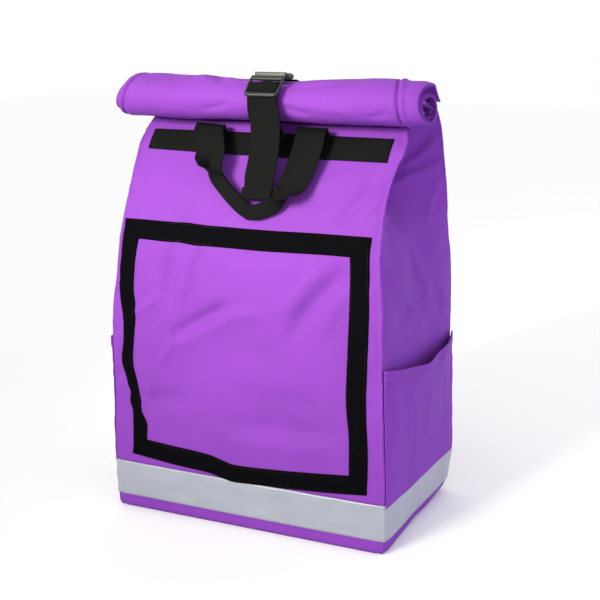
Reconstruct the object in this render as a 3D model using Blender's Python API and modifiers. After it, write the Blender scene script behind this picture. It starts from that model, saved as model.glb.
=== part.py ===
"""A roll-top delivery backpack: a tall cloth bag, rolled shut and held by a webbing strap.

Metres, +Z up, front face towards -Y. The origin is the middle of the flat base, on the floor.
"""

import math

import bmesh
import bpy
import numpy as np
from mathutils import Matrix

# Main sizes of the bag
WIDTH = 0.400
DEPTH = 0.240
MOUTH_HEIGHT = 0.583
CLOTH = 0.002
SIDE_CLOTH = 0.262
GAP = 0.0003
SEWN_GAP = 0.0009

# Rolled top
ROLL_LENGTH = 0.425
ROLL_SHIFT_X = 0.0145
ROLL_DEPTH = 0.072
ROLL_HEIGHT = 0.062
ROLL_LAYER = 0.0032
ROLL_TURNS = 2.3
ROLL_PITCH = 0.0098
ROLL_SET_BACK = 0.4833
ROLL_SETTLE = 0.019
ROLL_CENTRE_Y = -ROLL_SET_BACK * DEPTH / 2
ROLL_CENTRE_Z = MOUTH_HEIGHT - ROLL_SETTLE
TAIL_START = 16.0

# Webbing, tape and fastener strips
WEBBING = 0.040
WEBBING_THICK = 0.0016
WEBBING_SLACK = 0.0005
BAND_FOOT = 0.850
BAND_WIDTH = 0.034
BAND_LENGTH = 0.340
BAND_CENTRE_X = 0.013
TAPE_WIDTH = 0.050
TAPE_FOOT = 0.019
TAPE_THICK = 0.0007
STRIP_WIDTH = 0.025
STRIP_THICK = 0.0018
MITRE_GAP = 0.0019
FRAME_WIDTH = 0.346
FRAME_HEIGHT = 0.330
FRAME_FOOT = 0.080
FRAME_CENTRE_X = 0.003

# Side pockets
POCKET_HEIGHT = 0.174
POCKET_MOUTH = 0.016
POCKET_SAG = 0.012
POCKET_SLOPE = 0.010
POCKET_SEAM = 0.0015
POCKET_CLOTH = 0.0018

# Closure strap and its buckle
STRAP_X = 0.018
STRAP_DRIFT = 0.008
STRAP_TAIL = 0.107
STRAP_END = 0.085
TAIL_LEAN = 0.13
HEM_LEAN = 0.165
BUCKLE_RAIL = 0.0024
BUCKLE_SIDE_GAP = 0.0008
BUCKLE_THICK = 0.0042
BUCKLE_BAR = 0.0050
BUCKLE_WINDOW = 0.0112
MIDDLE_BAR = 0.0036
LATCH_LENGTH = 0.034
LATCH_ANGLE = 42.0
LATCH_STAND = 0.0052
SOCKET_LENGTH = 0.034
SOCKET_THICK = 0.0105
SOCKET_ANGLE = 94.0
SOCKET_BACK = 0.003
REAR_STRAP_LENGTH = 0.085

# Carry handle
HANDLE_SPREAD = 0.146
HANDLE_CENTRE_X = 0.003
HANDLE_DROP = 0.103
HANDLE_UNDER_ROLL = 0.030
HANDLE_HEAD = ROLL_CENTRE_Z - HANDLE_UNDER_ROLL
HANDLE_ROOT = 0.004

# Shoulder straps on the back
SHOULDER_WIDTH = 0.062
SHOULDER_THICK = 0.012
SHOULDER_SPREAD = 0.124
SHOULDER_STAND = 0.038
SHOULDER_TOP = 0.462
SHOULDER_LENGTH = 0.280
LOWER_WEBBING = 0.025
LOWER_SPREAD = 0.250
LOWER_ANCHOR = 0.086
LOCK_BAR = 0.0040
LOCK_WINDOW = 0.0070
LOCK_THICK = 0.0030

# Sections of the bag from the base to the mouth. The y columns are shares of half the depth,
# the z columns shares of the mouth height, the x columns shares of half the width.
# "radius" is the seam corner's radius as a share of the depth, "bow" the belly of the front, and
# "pleat" how much of the side panel's spare cloth folds inwards there.
SECTION_COLUMNS = (
    "front_y",
    "front_z",
    "back_y",
    "back_z",
    "left_x",
    "right_x",
    "back_right_x",
    "radius",
    "bow",
    "pleat",
)
SECTIONS = {
    "base edge": (-0.975, 0.0000, 0.985, 0.0000, -0.990, 0.985, 0.990, 0.040, 0.000, 0.00),
    "base round": (-1.000, 0.0100, 1.005, 0.0100, -1.000, 0.997, 1.006, 0.040, 0.002, 0.00),
    "tape foot": (-1.000, 0.0326, 1.015, 0.0326, -1.000, 1.000, 1.020, 0.034, 0.004, 0.00),
    "tape head": (-1.012, 0.1184, 1.030, 0.1184, -1.000, 1.000, 1.045, 0.030, 0.008, 0.00),
    "lower": (-1.040, 0.2000, 1.050, 0.2000, -0.988, 1.000, 1.056, 0.028, 0.014, 0.00),
    "pinch": (-1.075, 0.3080, 1.060, 0.3080, -0.964, 0.993, 1.045, 0.028, 0.018, 0.00),
    "pocket head": (-1.090, 0.4100, 1.060, 0.4100, -0.962, 0.986, 1.030, 0.028, 0.020, 0.00),
    "belly": (-1.098, 0.5000, 1.050, 0.5050, -0.948, 0.985, 1.030, 0.028, 0.020, 0.00),
    "chest": (-1.092, 0.5830, 1.030, 0.5900, -0.908, 0.975, 1.022, 0.028, 0.020, 0.00),
    "lean start": (-1.060, 0.6600, 0.990, 0.6750, -0.890, 0.955, 1.002, 0.026, 0.020, 0.22),
    "lean": (-0.925, 0.7240, 0.930, 0.7550, -0.898, 0.942, 1.006, 0.020, 0.020, 0.62),
    "shoulder": (-0.800, 0.7800, 0.850, 0.8350, -0.896, 0.944, 0.994, 0.013, 0.016, 0.88),
    "neck": (-0.640, 0.8350, 0.720, 0.9000, -0.908, 0.965, 1.000, 0.010, 0.010, 1.00),
    "throat": (-0.530, 0.8730, 0.420, 0.9560, -0.918, 1.010, 1.020, 0.009, 0.004, 1.00),
    "mouth": (-0.385, 0.9220, 0.070, 0.9960, -0.912, 1.035, 1.035, 0.009, 0.000, 1.00),
}
RINGS_PER_SECTION = {
    "base edge": 1,
    "base round": 1,
    "tape foot": 1,
    "tape head": 1,
    "lower": 2,
    "pinch": 2,
    "pocket head": 2,
    "belly": 2,
    "chest": 2,
    "lean start": 2,
    "lean": 1,
    "shoulder": 1,
    "neck": 1,
    "throat": 1,
}

# Soft dents of the cloth, each with its place across and up, its reach across and up, a slope and
# a depth. Places and reaches are shares of half the width and of the mouth height, and the depth
# is a share of the bag's depth, positive pushed inwards.
FRONT_DENTS = {
    "lower left crease": (-0.62, 0.330, 0.34, 0.070, 0.6, 0.011),
    "left edge swell": (-0.70, 0.450, 0.40, 0.080, 0.0, -0.010),
    "under the handle": (0.10, 0.650, 0.50, 0.060, 0.0, 0.009),
    "lower right drape": (0.45, 0.270, 0.40, 0.080, -0.4, 0.008),
}
SIDE_DENTS = {
    "upper hollow": (0.20, 0.640, 0.50, 0.090, 0.8, 0.030),
    "pocket crease": (0.10, 0.500, 0.60, 0.040, -0.5, 0.014),
}

# How many faces the cloth ring has along each stretch
FRONT_FACES = 12
BACK_FACES = 8
HALF_SIDE_FACES = 3
SEAM_FACES = 4
TIP_FACES = 3
PATCH_FACE = 0.014

# Spiral of the rolled top: where the outer layer leaves the bag, then the dents along the roll.
# "x" is a share of half the roll's length, "depth" and "height" scale the roll's section there,
# "lift" is a share of the roll's height and "slant" leans the end of the roll, as a share of it.
ROLL_COLUMNS = ("x", "depth", "height", "lift", "slant")
ROLL_STATIONS = {
    "left end": (-1.00, 0.93, 0.90, 0.03, 0.28),
    "left cuff": (-0.96, 0.99, 0.98, 0.03, 0.16),
    "left seam": (-0.90, 1.00, 1.00, 0.03, 0.06),
    "left": (-0.66, 1.02, 1.02, 0.02, 0.00),
    "left dent": (-0.34, 0.98, 0.97, 0.00, 0.00),
    "left of strap": (-0.14, 0.95, 0.94, -0.02, 0.00),
    "right of strap": (0.12, 0.93, 0.92, -0.03, 0.00),
    "right dent": (0.36, 0.97, 0.97, -0.02, 0.00),
    "right": (0.62, 1.01, 1.00, 0.00, 0.00),
    "right seam": (0.84, 1.00, 1.00, 0.01, -0.03),
    "right cuff": (0.94, 1.00, 1.00, 0.01, -0.06),
    "right end": (1.00, 0.95, 0.94, 0.01, -0.10),
}
FACES_PER_TURN = 14

COLOURS = {
    "purple_cloth": ((0.36, 0.09, 0.60), 0.62),
    "black_webbing": ((0.018, 0.019, 0.018), 0.85),
    "hook_fastener": ((0.008, 0.008, 0.009), 0.95),
    "reflective_tape": ((0.52, 0.55, 0.62), 0.35),
    "black_plastic": ((0.030, 0.030, 0.032), 0.38),
    "black_padding": ((0.016, 0.016, 0.018), 0.80),
}


def column(table, columns, name):
    """One named column of a table, as an array down its rows."""
    return np.array([row[columns.index(name)] for row in table.values()])


def clear_scene():
    for obj in list(bpy.data.objects):
        bpy.data.objects.remove(obj, do_unlink=True)


def material(name):
    """The Principled material of that finish, made once."""
    if name in bpy.data.materials:
        return bpy.data.materials[name]
    colour, roughness = COLOURS[name]
    made = bpy.data.materials.new(name)
    made.use_nodes = True
    shader = made.node_tree.nodes["Principled BSDF"]
    shader.inputs["Base Color"].default_value = (*colour, 1.0)
    shader.inputs["Roughness"].default_value = roughness
    return made


def add_object(name, points, faces, finish):
    """An object of that mesh in the bag's collection."""
    mesh = bpy.data.meshes.new(name)
    mesh.from_pydata(np.asarray(points).tolist(), [], faces)
    mesh.validate()
    mesh.update()
    mesh.materials.append(material(finish))
    obj = bpy.data.objects.new(name, mesh)
    collection().objects.link(obj)
    mesh.shade_smooth()
    mesh.set_sharp_from_angle(angle=math.radians(40))
    return obj


def collection():
    name = "roll_top_backpack"
    if name not in bpy.data.collections:
        bpy.context.scene.collection.children.link(bpy.data.collections.new(name))
    return bpy.data.collections[name]


def solidify(obj, thickness, offset):
    """Gives an open surface its wall, even round its corners."""
    wall = obj.modifiers.new("wall", "SOLIDIFY")
    wall.thickness = thickness
    wall.offset = offset
    wall.use_even_offset = True
    return obj


def grid_faces(rows, columns, wrap=False):
    """The quads of a grid of points, row by row, with the last column joined to the first if wrap."""
    faces = []
    last = columns if wrap else columns - 1
    for i in range(rows - 1):
        for j in range(last):
            k = (j + 1) % columns
            faces.append((i * columns + j, i * columns + k, (i + 1) * columns + k, (i + 1) * columns + j))
    return faces


def unit(vectors):
    return vectors / np.linalg.norm(vectors, axis=-1, keepdims=True)


def smooth_curve(points, count):
    """A Catmull-Rom curve through the points, read at evenly spaced places along its length."""
    points = np.asarray(points, float)
    ends = np.vstack([2 * points[0] - points[1], points, 2 * points[-1] - points[-2]])
    fine = []
    for i in range(1, len(ends) - 2):
        t = np.linspace(0, 1, 24, endpoint=False)[:, None]
        a, b, c, d = ends[i - 1], ends[i], ends[i + 1], ends[i + 2]
        fine.append(
            0.5 * (2 * b + (c - a) * t + (2 * a - 5 * b + 4 * c - d) * t**2 + (3 * b - a - 3 * c + d) * t**3)
        )
    fine = np.vstack([*fine, points[-1:]])
    length = np.concatenate([[0], np.cumsum(np.linalg.norm(np.diff(fine, axis=0), axis=1))])
    at = np.linspace(0, length[-1], count)
    return np.stack([np.interp(at, length, fine[:, k]) for k in range(points.shape[1])], axis=1)


def rings():
    """Every ring of the bag, in metres, worked out between the sections along smooth curves."""
    values = np.array(list(SECTIONS.values()))
    scale = np.array([DEPTH / 2, MOUTH_HEIGHT] * 2 + [WIDTH / 2] * 3 + [DEPTH, DEPTH, 1.0])
    values = values * scale
    padded = np.vstack([values[:1], values, values[-1:]])
    made = []
    for i, count in enumerate(RINGS_PER_SECTION.values()):
        a, b, c, d = padded[i], padded[i + 1], padded[i + 2], padded[i + 3]
        for t in np.arange(count) / count:
            made.append(
                b
                if t == 0
                else 0.5
                * (2 * b + (c - a) * t + (2 * a - 5 * b + 4 * c - d) * t**2 + (3 * b - a - 3 * c + d) * t**3)
            )
    made.append(values[-1])
    return [dict(zip(SECTION_COLUMNS, row)) for row in made]


def corner_arc(before, corner, after, radius, faces):
    """A circle arc of that radius tucked into a corner, as a rational curve through its tangents."""
    back = before - corner
    on = after - corner
    back_length = np.linalg.norm(back)
    on_length = np.linalg.norm(on)
    back = back / back_length
    on = on / on_length
    turn = math.pi - math.acos(max(-1.0, min(1.0, float(back @ on))))
    reach = max(radius * math.tan(turn / 2), radius * 0.6)
    reach = min(reach, 0.4 * back_length, 0.4 * on_length)
    weight = max(math.cos(turn / 2), 0.12)
    t = np.linspace(0, 1, faces + 1)[:, None]
    start = corner + back * reach
    end = corner + on * reach
    top = (1 - t) ** 2 * start + 2 * weight * t * (1 - t) * corner + t**2 * end
    return top / ((1 - t) ** 2 + 2 * weight * t * (1 - t) + t**2)


def dents(table, x, z, half_width):
    """How far the cloth is pushed in at these places: a sum of soft hollows, each turned by a slope."""
    total = np.zeros(np.broadcast(x, z).shape)
    for place_x, place_z, reach_x, reach_z, slope, depth in table.values():
        across = (x / half_width - place_x) / reach_x
        up = (z / MOUTH_HEIGHT - place_z) / reach_z - slope * across
        total = total + depth * DEPTH * np.exp(-(across**2) - up**2)
    return total


def ring_outline(ring, grow=0.0):
    """The bag's outline at one ring as points in space: front, right side, back, left side.

    The side panels keep the width of their cloth, so they fold inwards where front and back close up.
    """
    front = np.array([ring["front_y"] - grow, ring["front_z"]])
    back = np.array([ring["back_y"] + grow, ring["back_z"]])
    span = np.linalg.norm(back - front)
    fold = math.sqrt(max((SIDE_CLOTH / 2) ** 2 - (span / 2) ** 2, 0.0)) * ring["pleat"]
    left = ring["left_x"] - grow
    right = ring["right_x"] + grow
    back_right = ring["back_right_x"] + grow
    radius = ring["radius"] + grow
    corners = np.array(
        [
            (left, 0.0),
            (right, 0.0),
            ((right + back_right) / 2 - fold, span / 2),
            (back_right, span),
            (left, span),
            (left + fold, span / 2),
        ]
    )
    faces = (SEAM_FACES, SEAM_FACES, TIP_FACES, SEAM_FACES, SEAM_FACES, TIP_FACES)
    arcs = [
        corner_arc(corners[i - 1], corners[i], corners[(i + 1) % 6], radius, faces[i]) for i in range(6)
    ]
    stretches = (FRONT_FACES, HALF_SIDE_FACES, HALF_SIDE_FACES, BACK_FACES, HALF_SIDE_FACES, HALF_SIDE_FACES)
    outline = []
    kinds = []
    for i in range(6):
        following = arcs[(i + 1) % 6]
        t = np.arange(1, stretches[i])[:, None] / stretches[i]
        straight = arcs[i][-1] * (1 - t) + following[0] * t
        outline += [arcs[i], straight]
        kinds += [np.full(len(arcs[i]), -1), np.full(len(straight), i)]
    flat = np.vstack(outline)
    kinds = np.concatenate(kinds)
    along = (flat[:, 1] / span)[:, None]
    points = np.column_stack([flat[:, 0], front * (1 - along) + back * along])
    middle = (ring["left_x"] + ring["right_x"]) / 2
    half = (ring["right_x"] - ring["left_x"]) / 2
    x, z = points[:, 0] - middle, points[:, 2]
    ease = np.clip(1 - (x / half) ** 2, 0, 1)
    front_side = kinds == 0
    back_side = kinds == 3
    right_side = (kinds == 1) | (kinds == 2)
    left_side = (kinds == 4) | (kinds == 5)
    belly = ring["bow"] * ease
    points[front_side, 1] += (dents(FRONT_DENTS, x, z, half) * np.sqrt(ease) - belly)[front_side]
    points[back_side, 1] += 0.5 * belly[back_side]
    across = points[:, 1]
    hollow = dents(SIDE_DENTS, across, z, DEPTH / 2) * np.clip(1 - (across / (0.5 * span)) ** 2, 0, 1)
    hollow = hollow * (1 - ring["pleat"])
    points[right_side, 0] -= hollow[right_side]
    points[left_side, 0] += hollow[left_side]
    return points, kinds


class Bag:
    """The bag's outer cloth: its rings, and a way to read the front panel at any place."""

    def __init__(self):
        self.rings = rings()
        outlines = [ring_outline(ring) for ring in self.rings]
        self.points = np.array([points for points, _ in outlines])
        self.kinds = outlines[0][1]
        front = np.flatnonzero(self.kinds == 0)
        self.front = self.points[:, front[0] - 1 : front[-1] + 2]

    def front_point(self, x, z):
        """The front panel's surface at these places, read between the faces of the cloth."""
        x, z = np.broadcast_arrays(np.asarray(x, float), np.asarray(z, float))
        heights = self.front[:, 0, 2]
        row = np.clip(np.searchsorted(heights, z) - 1, 0, len(heights) - 2)
        share = (z - heights[row]) / (heights[row + 1] - heights[row])
        depth = []
        for r in (row, row + 1):
            xs = self.front[r, :, 0]
            ys = self.front[r, :, 1]
            place = np.clip((xs <= x[..., None]).sum(-1) - 1, 0, xs.shape[-1] - 2)[..., None]
            x0, x1 = (np.take_along_axis(xs, place + k, -1)[..., 0] for k in (0, 1))
            y0, y1 = (np.take_along_axis(ys, place + k, -1)[..., 0] for k in (0, 1))
            depth.append(y0 + (y1 - y0) * (x - x0) / (x1 - x0))
        return np.stack([x, depth[0] * (1 - share) + depth[1] * share, z], axis=-1)

    def front_normal(self, x, z):
        step = 0.004
        run = self.front_point(x + step, z) - self.front_point(x - step, z)
        rise = self.front_point(x, z + step) - self.front_point(x, z - step)
        return unit(np.cross(run, rise))

    def front_height_at(self, distance, foot):
        """The height reached by going that far up the front panel's cloth from a foot height."""
        heights = np.linspace(foot, self.front[-1, 0, 2], 400)
        line = self.front_point(np.zeros(400), heights)
        length = np.concatenate([[0], np.cumsum(np.linalg.norm(np.diff(line, axis=0), axis=1))])
        return float(np.interp(distance, length, heights))


def make_shell(bag):
    """The cloth bag: an open loft through the rings, closed by its base, with its wall inwards."""
    count = bag.points.shape[1]
    faces = grid_faces(len(bag.points), count, wrap=True)
    faces.append(tuple(reversed(range(count))))
    shell = add_object("bag_shell", bag.points.reshape(-1, 3), faces, "purple_cloth")
    solidify(shell, CLOTH, -1)


def front_patch(bag, name, corners, finish, thickness):
    """A strip sewn flat on the front: its four corners as (x, z), bottom left, bottom right, top
    right, top left. Its rows follow the rings of the bag, so that it bends where the cloth does.
    """
    a, b, c, d = (np.array(corner) for corner in corners)
    u = np.linspace(0, 1, max(4, math.ceil((b[0] - a[0]) / PATCH_FACE)) + 1)
    foot = a * (1 - u)[:, None] + b * u[:, None]
    head = d * (1 - u)[:, None] + c * u[:, None]
    heights = bag.front[:, 0, 2]
    low, high = foot[:, 1].max(), head[:, 1].min()
    levels = [z for z in heights if low + PATCH_FACE / 4 < z < high - PATCH_FACE / 4]
    mitre = math.ceil(max(np.ptp(foot[:, 1]), np.ptp(head[:, 1])) / PATCH_FACE)
    rise = (head[:, 1] - foot[:, 1]).mean()
    shares = [(z - foot[:, 1].mean()) / rise for z in levels]
    shares = [0.0, *shares, 1.0]
    ends = np.arange(1, mitre + 1) / (mitre + 1)
    shares += [*(shares[1] * ends), *(shares[-2] + (1 - shares[-2]) * ends)] if mitre else []
    rows = [foot * (1 - v) + head * v for v in sorted(shares)]
    flat = np.array(rows)
    surface = bag.front_point(flat[..., 0], flat[..., 1])
    normal = bag.front_normal(flat[..., 0], flat[..., 1])
    grid = surface + normal * SEWN_GAP
    strip = add_object(name, grid.reshape(-1, 3), grid_faces(*flat.shape[:2]), finish)
    solidify(strip, thickness, 1)


def make_fastener_frame(bag):
    """Four strips round a square on the front, each mitred to the next with a small gap."""
    left = FRAME_CENTRE_X - FRAME_WIDTH / 2
    right = FRAME_CENTRE_X + FRAME_WIDTH / 2
    foot = FRAME_FOOT
    head = FRAME_FOOT + FRAME_HEIGHT
    s = STRIP_WIDTH
    g = MITRE_GAP
    strips = {
        "fastener_bottom": ((left + g, foot), (right - g, foot), (right - s - g, foot + s), (left + s + g, foot + s)),
        "fastener_top": ((left + s + g, head - s), (right - s - g, head - s), (right - g, head), (left + g, head)),
        "fastener_left": ((left, foot + g), (left + s, foot + s + g), (left + s, head - s - g), (left, head - g)),
        "fastener_right": (
            (right - s, foot + s + g),
            (right, foot + g),
            (right, head - g),
            (right - s, head - s - g),
        ),
    }
    for name, corners in strips.items():
        front_patch(bag, name, corners, "hook_fastener", STRIP_THICK)


def band_heights(bag):
    """The foot and the head of the webbing band across the leaning top of the front."""
    foot = BAND_FOOT * MOUTH_HEIGHT
    return foot, bag.front_height_at(BAND_WIDTH, foot)


def make_top_band(bag):
    foot, head = band_heights(bag)
    left = BAND_CENTRE_X - BAND_LENGTH / 2
    right = BAND_CENTRE_X + BAND_LENGTH / 2
    corners = ((left - 0.004, foot), (right - 0.002, foot), (right + 0.003, head), (left, head))
    front_patch(bag, "top_band", corners, "black_webbing", WEBBING_THICK)


def make_reflective_band(bag):
    """The tape all round the foot of the bag, on the outside of the cloth."""
    heights = np.array([ring["front_z"] for ring in bag.rings])
    rows = []
    for z in (TAPE_FOOT, (TAPE_FOOT * 2 + TAPE_WIDTH) / 2, TAPE_FOOT + TAPE_WIDTH):
        ring = {
            name: np.interp(z, heights, [each[name] for each in bag.rings]) for name in SECTION_COLUMNS
        }
        rows.append(ring_outline(ring, GAP)[0])
    rows = np.array(rows)
    count = rows.shape[1]
    band = add_object("reflective_band", rows.reshape(-1, 3), grid_faces(3, count, wrap=True), "reflective_tape")
    solidify(band, TAPE_THICK, 1)


def make_pocket(bag, name, side):
    """A sheet across one side panel from the tape up, held at both seams and slack at its mouth."""
    foot = TAPE_FOOT + TAPE_WIDTH + POCKET_SEAM
    head = TAPE_FOOT + TAPE_WIDTH + POCKET_HEIGHT
    heights = np.array([ring["front_z"] for ring in bag.rings])
    front_walls = np.array([ring["right_x"] if side > 0 else -ring["left_x"] for ring in bag.rings])
    back_walls = np.array([ring["back_right_x"] if side > 0 else -ring["left_x"] for ring in bag.rings])
    rows = []
    for share in np.linspace(0, 1, 6):
        z = foot + (head - foot) * share
        ring = {
            key: np.interp(z, heights, [each[key] for each in bag.rings]) for key in SECTION_COLUMNS
        }
        t = np.linspace(0, 1, 9)
        y = ring["front_y"] + ring["radius"] + (ring["back_y"] - ring["front_y"] - 2 * ring["radius"]) * t
        stand = GAP * 3 + POCKET_MOUTH * np.sin(math.pi * t) ** 0.8 * share**0.7
        drop = POCKET_SAG * np.sin(math.pi * t) * share + POCKET_SLOPE * (t - 0.5) * share
        back_share = (y - ring["front_y"]) / (ring["back_y"] - ring["front_y"])
        front_wall = np.interp(z - drop, heights, front_walls)
        wall = front_wall + (np.interp(z - drop, heights, back_walls) - front_wall) * back_share
        rows.append(np.column_stack([side * (wall + stand), y, z - drop]))
    points = np.array(rows)
    faces = grid_faces(6, 9)
    if side < 0:
        faces = [tuple(reversed(face)) for face in faces]
    pocket = add_object(name, points.reshape(-1, 3), faces, "purple_cloth")
    solidify(pocket, POCKET_CLOTH, 1)


def roll_line(depth, height, lift):
    """The spiral's line as (y, z): a tail that leaves the bag's mouth, then turns that close inwards."""
    angle = np.linspace(0, 2 * math.pi * ROLL_TURNS, int(FACES_PER_TURN * ROLL_TURNS) + 1)
    turns = angle / (2 * math.pi)
    share = 1.0 + 0.62 * np.exp(-((turns / 0.085) ** 1.5))
    inward = ROLL_PITCH * np.maximum(turns - 0.08, 0)
    half_depth = (ROLL_DEPTH / 2 * depth - ROLL_LAYER / 2) * share - inward
    half_height = (ROLL_HEIGHT / 2 * height - ROLL_LAYER / 2) * np.minimum(share, 1.1) - inward
    start = math.radians(TAIL_START)
    y = ROLL_CENTRE_Y + half_depth * np.cos(start + angle)
    z = ROLL_CENTRE_Z + lift * ROLL_HEIGHT + half_height * np.sin(start + angle)
    return np.column_stack([y, z])


def make_roll():
    """The rolled cloth: a spiral section carried along X, with the dents of its stations."""
    stations = []
    for x, depth, height, lift, slant in ROLL_STATIONS.values():
        line = roll_line(depth, height, lift)
        lean = slant * (line[:, 1] - ROLL_CENTRE_Z)
        stations.append(np.column_stack([ROLL_SHIFT_X + x * ROLL_LENGTH / 2 + lean, line]))
    points = np.array(stations)
    faces = grid_faces(*points.shape[:2])
    roll = add_object("rolled_top", points.reshape(-1, 3), faces, "purple_cloth")
    solidify(roll, ROLL_LAYER, 0)


def roll_station(x):
    """The roll's centre and half sizes at a place along it: y, z, half depth, half height."""
    at = np.array([row[0] for row in ROLL_STATIONS.values()]) * ROLL_LENGTH / 2 + ROLL_SHIFT_X
    depth, height, lift = (
        np.interp(x, at, column(ROLL_STATIONS, ROLL_COLUMNS, name)) for name in ("depth", "height", "lift")
    )
    return ROLL_CENTRE_Y, ROLL_CENTRE_Z + lift * ROLL_HEIGHT, ROLL_DEPTH / 2 * depth, ROLL_HEIGHT / 2 * height


def on_roll(x, degrees, stand):
    """(y, z) at that height over the roll's skin: 0 degrees faces the front, 90 is its top."""
    y, z, half_depth, half_height = roll_station(x)
    turn = math.radians(degrees)
    point = np.array([y - half_depth * math.cos(turn), z + half_height * math.sin(turn)])
    normal = unit(np.array([-math.cos(turn) / half_depth, math.sin(turn) / half_height]))
    return point + normal * stand, normal


def ribbon(name, path, across, widths, thickness, finish):
    """Webbing: a flat strip along a path, its width laid along the across directions."""
    path = np.asarray(path)
    half = (np.asarray(widths) / 2)[:, None] if np.ndim(widths) else widths / 2
    side = unit(np.asarray(across)) * half
    points = np.stack([path - side, path + side], axis=1)
    strip = add_object(name, points.reshape(-1, 3), grid_faces(len(path), 2), finish)
    solidify(strip, thickness, 0)
    return strip


def band_point(bag, z, stand):
    """(y, z) over the webbing band on the front, at the strap."""
    point = bag.front_point(STRAP_X, z) + bag.front_normal(STRAP_X, z) * stand
    return point[1:]


def buckle_point(along, above):
    """(y, z) in the latch's own frame: along its slope, and above the roll at the latch's middle."""
    point, normal = on_roll(STRAP_X, LATCH_ANGLE, above)
    slope = np.array([normal[1], -normal[0]])
    return point + slope * along


def middle_bar_place():
    """Where the latch's middle bar is along its slope, from the latch's middle."""
    return -LATCH_LENGTH / 2 + BUCKLE_BAR + BUCKLE_WINDOW + MIDDLE_BAR / 2


def make_closure_strap(bag):
    """One length of webbing: sewn to the band, up behind the latch, round its bar and down to a tail."""
    t = WEBBING_THICK
    foot, head = band_heights(bag)
    on_band = SEWN_GAP + WEBBING_THICK + GAP + t / 2
    bar = middle_bar_place()
    bend = BUCKLE_THICK / 2 + GAP + t / 2 + WEBBING_SLACK
    under_bar = LATCH_STAND - BUCKLE_THICK / 2 - GAP - t / 2 - WEBBING_SLACK
    low = -LATCH_LENGTH / 2 + BUCKLE_BAR / 2
    inner = [
        band_point(bag, foot + 0.006, on_band),
        band_point(bag, (foot + head) / 2, on_band),
        band_point(bag, head - 0.010, on_band + 0.002),
        on_roll(STRAP_X, -38, 0.0032)[0],
        on_roll(STRAP_X, -14, 0.0022)[0],
        on_roll(STRAP_X, 6, 0.0022)[0],
        buckle_point(low, under_bar - t - WEBBING_SLACK),
        buckle_point(bar - 0.006, LATCH_STAND - bend - 0.0002),
        buckle_point(bar, LATCH_STAND - bend),
    ]
    turn = [
        buckle_point(bar + bend * math.sin(a), LATCH_STAND - bend * math.cos(a))
        for a in np.radians([30, 60, 90, 120, 150])
    ]
    outer = [
        buckle_point(bar, LATCH_STAND + bend),
        buckle_point(bar - MIDDLE_BAR / 2 - 0.0010, LATCH_STAND + bend),
        buckle_point(low + BUCKLE_BAR / 2 + 0.0015, under_bar + 0.0002),
        buckle_point(low, under_bar),
        buckle_point(low - 0.006, under_bar - 0.0010),
        on_roll(STRAP_X, 4, 0.0060)[0],
        on_roll(STRAP_X, -14, 0.0064)[0],
    ]
    top_y, top_z = outer[-1]
    end = HANDLE_HEAD - STRAP_END
    hang = [
        np.array([top_y - STRAP_TAIL * TAIL_LEAN * share, top_z + (end - top_z) * share])
        for share in (0.18, 0.36, 0.54, 0.72, 0.88)
    ]
    hang.append(np.array([top_y - STRAP_TAIL * HEM_LEAN, end]))
    line = np.array(inner + turn + outer + hang)
    length = np.concatenate([[0], np.cumsum(np.linalg.norm(np.diff(line, axis=0), axis=1))])
    tail = np.clip((length - length[len(inner) + len(turn) + 2]) / STRAP_TAIL, 0, 1)
    x = STRAP_X + STRAP_DRIFT * np.sin(math.pi * tail * 0.9)
    path = np.column_stack([x, line])
    across = np.tile([1.0, 0.0, 0.0], (len(path), 1))
    ribbon("closure_strap", path, across, WEBBING, t, "black_webbing")


def add_box(name, size, finish, bevel):
    """A box made from a cube, with rounded edges."""
    bm = bmesh.new()
    bmesh.ops.create_cube(bm, size=1.0)
    bmesh.ops.scale(bm, vec=size, verts=bm.verts)
    mesh = bpy.data.meshes.new(name)
    bm.to_mesh(mesh)
    bm.free()
    mesh.materials.append(material(finish))
    obj = bpy.data.objects.new(name, mesh)
    collection().objects.link(obj)
    if bevel:
        edge = obj.modifiers.new("rounded edges", "BEVEL")
        edge.width = bevel
        edge.segments = 2
    return obj


def cut_window(obj, name, size, along):
    """A rectangular window through a flat piece, at that place along its own Y."""
    bm = bmesh.new()
    bmesh.ops.create_cube(bm, size=1.0)
    bmesh.ops.scale(bm, vec=size, verts=bm.verts)
    mesh = bpy.data.meshes.new(name)
    bm.to_mesh(mesh)
    bm.free()
    cutter = bpy.data.objects.new(name, mesh)
    cutters = "cutters"
    if cutters not in bpy.data.collections:
        bpy.context.scene.collection.children.link(bpy.data.collections.new(cutters))
    bpy.data.collections[cutters].objects.link(cutter)
    cutter.parent = obj
    cutter.location = (0.0, along, 0.0)
    cutter.hide_render = True
    cutter.display_type = "WIRE"
    cut = obj.modifiers.new(name, "BOOLEAN")
    cut.operation = "DIFFERENCE"
    cut.object = cutter


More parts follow.
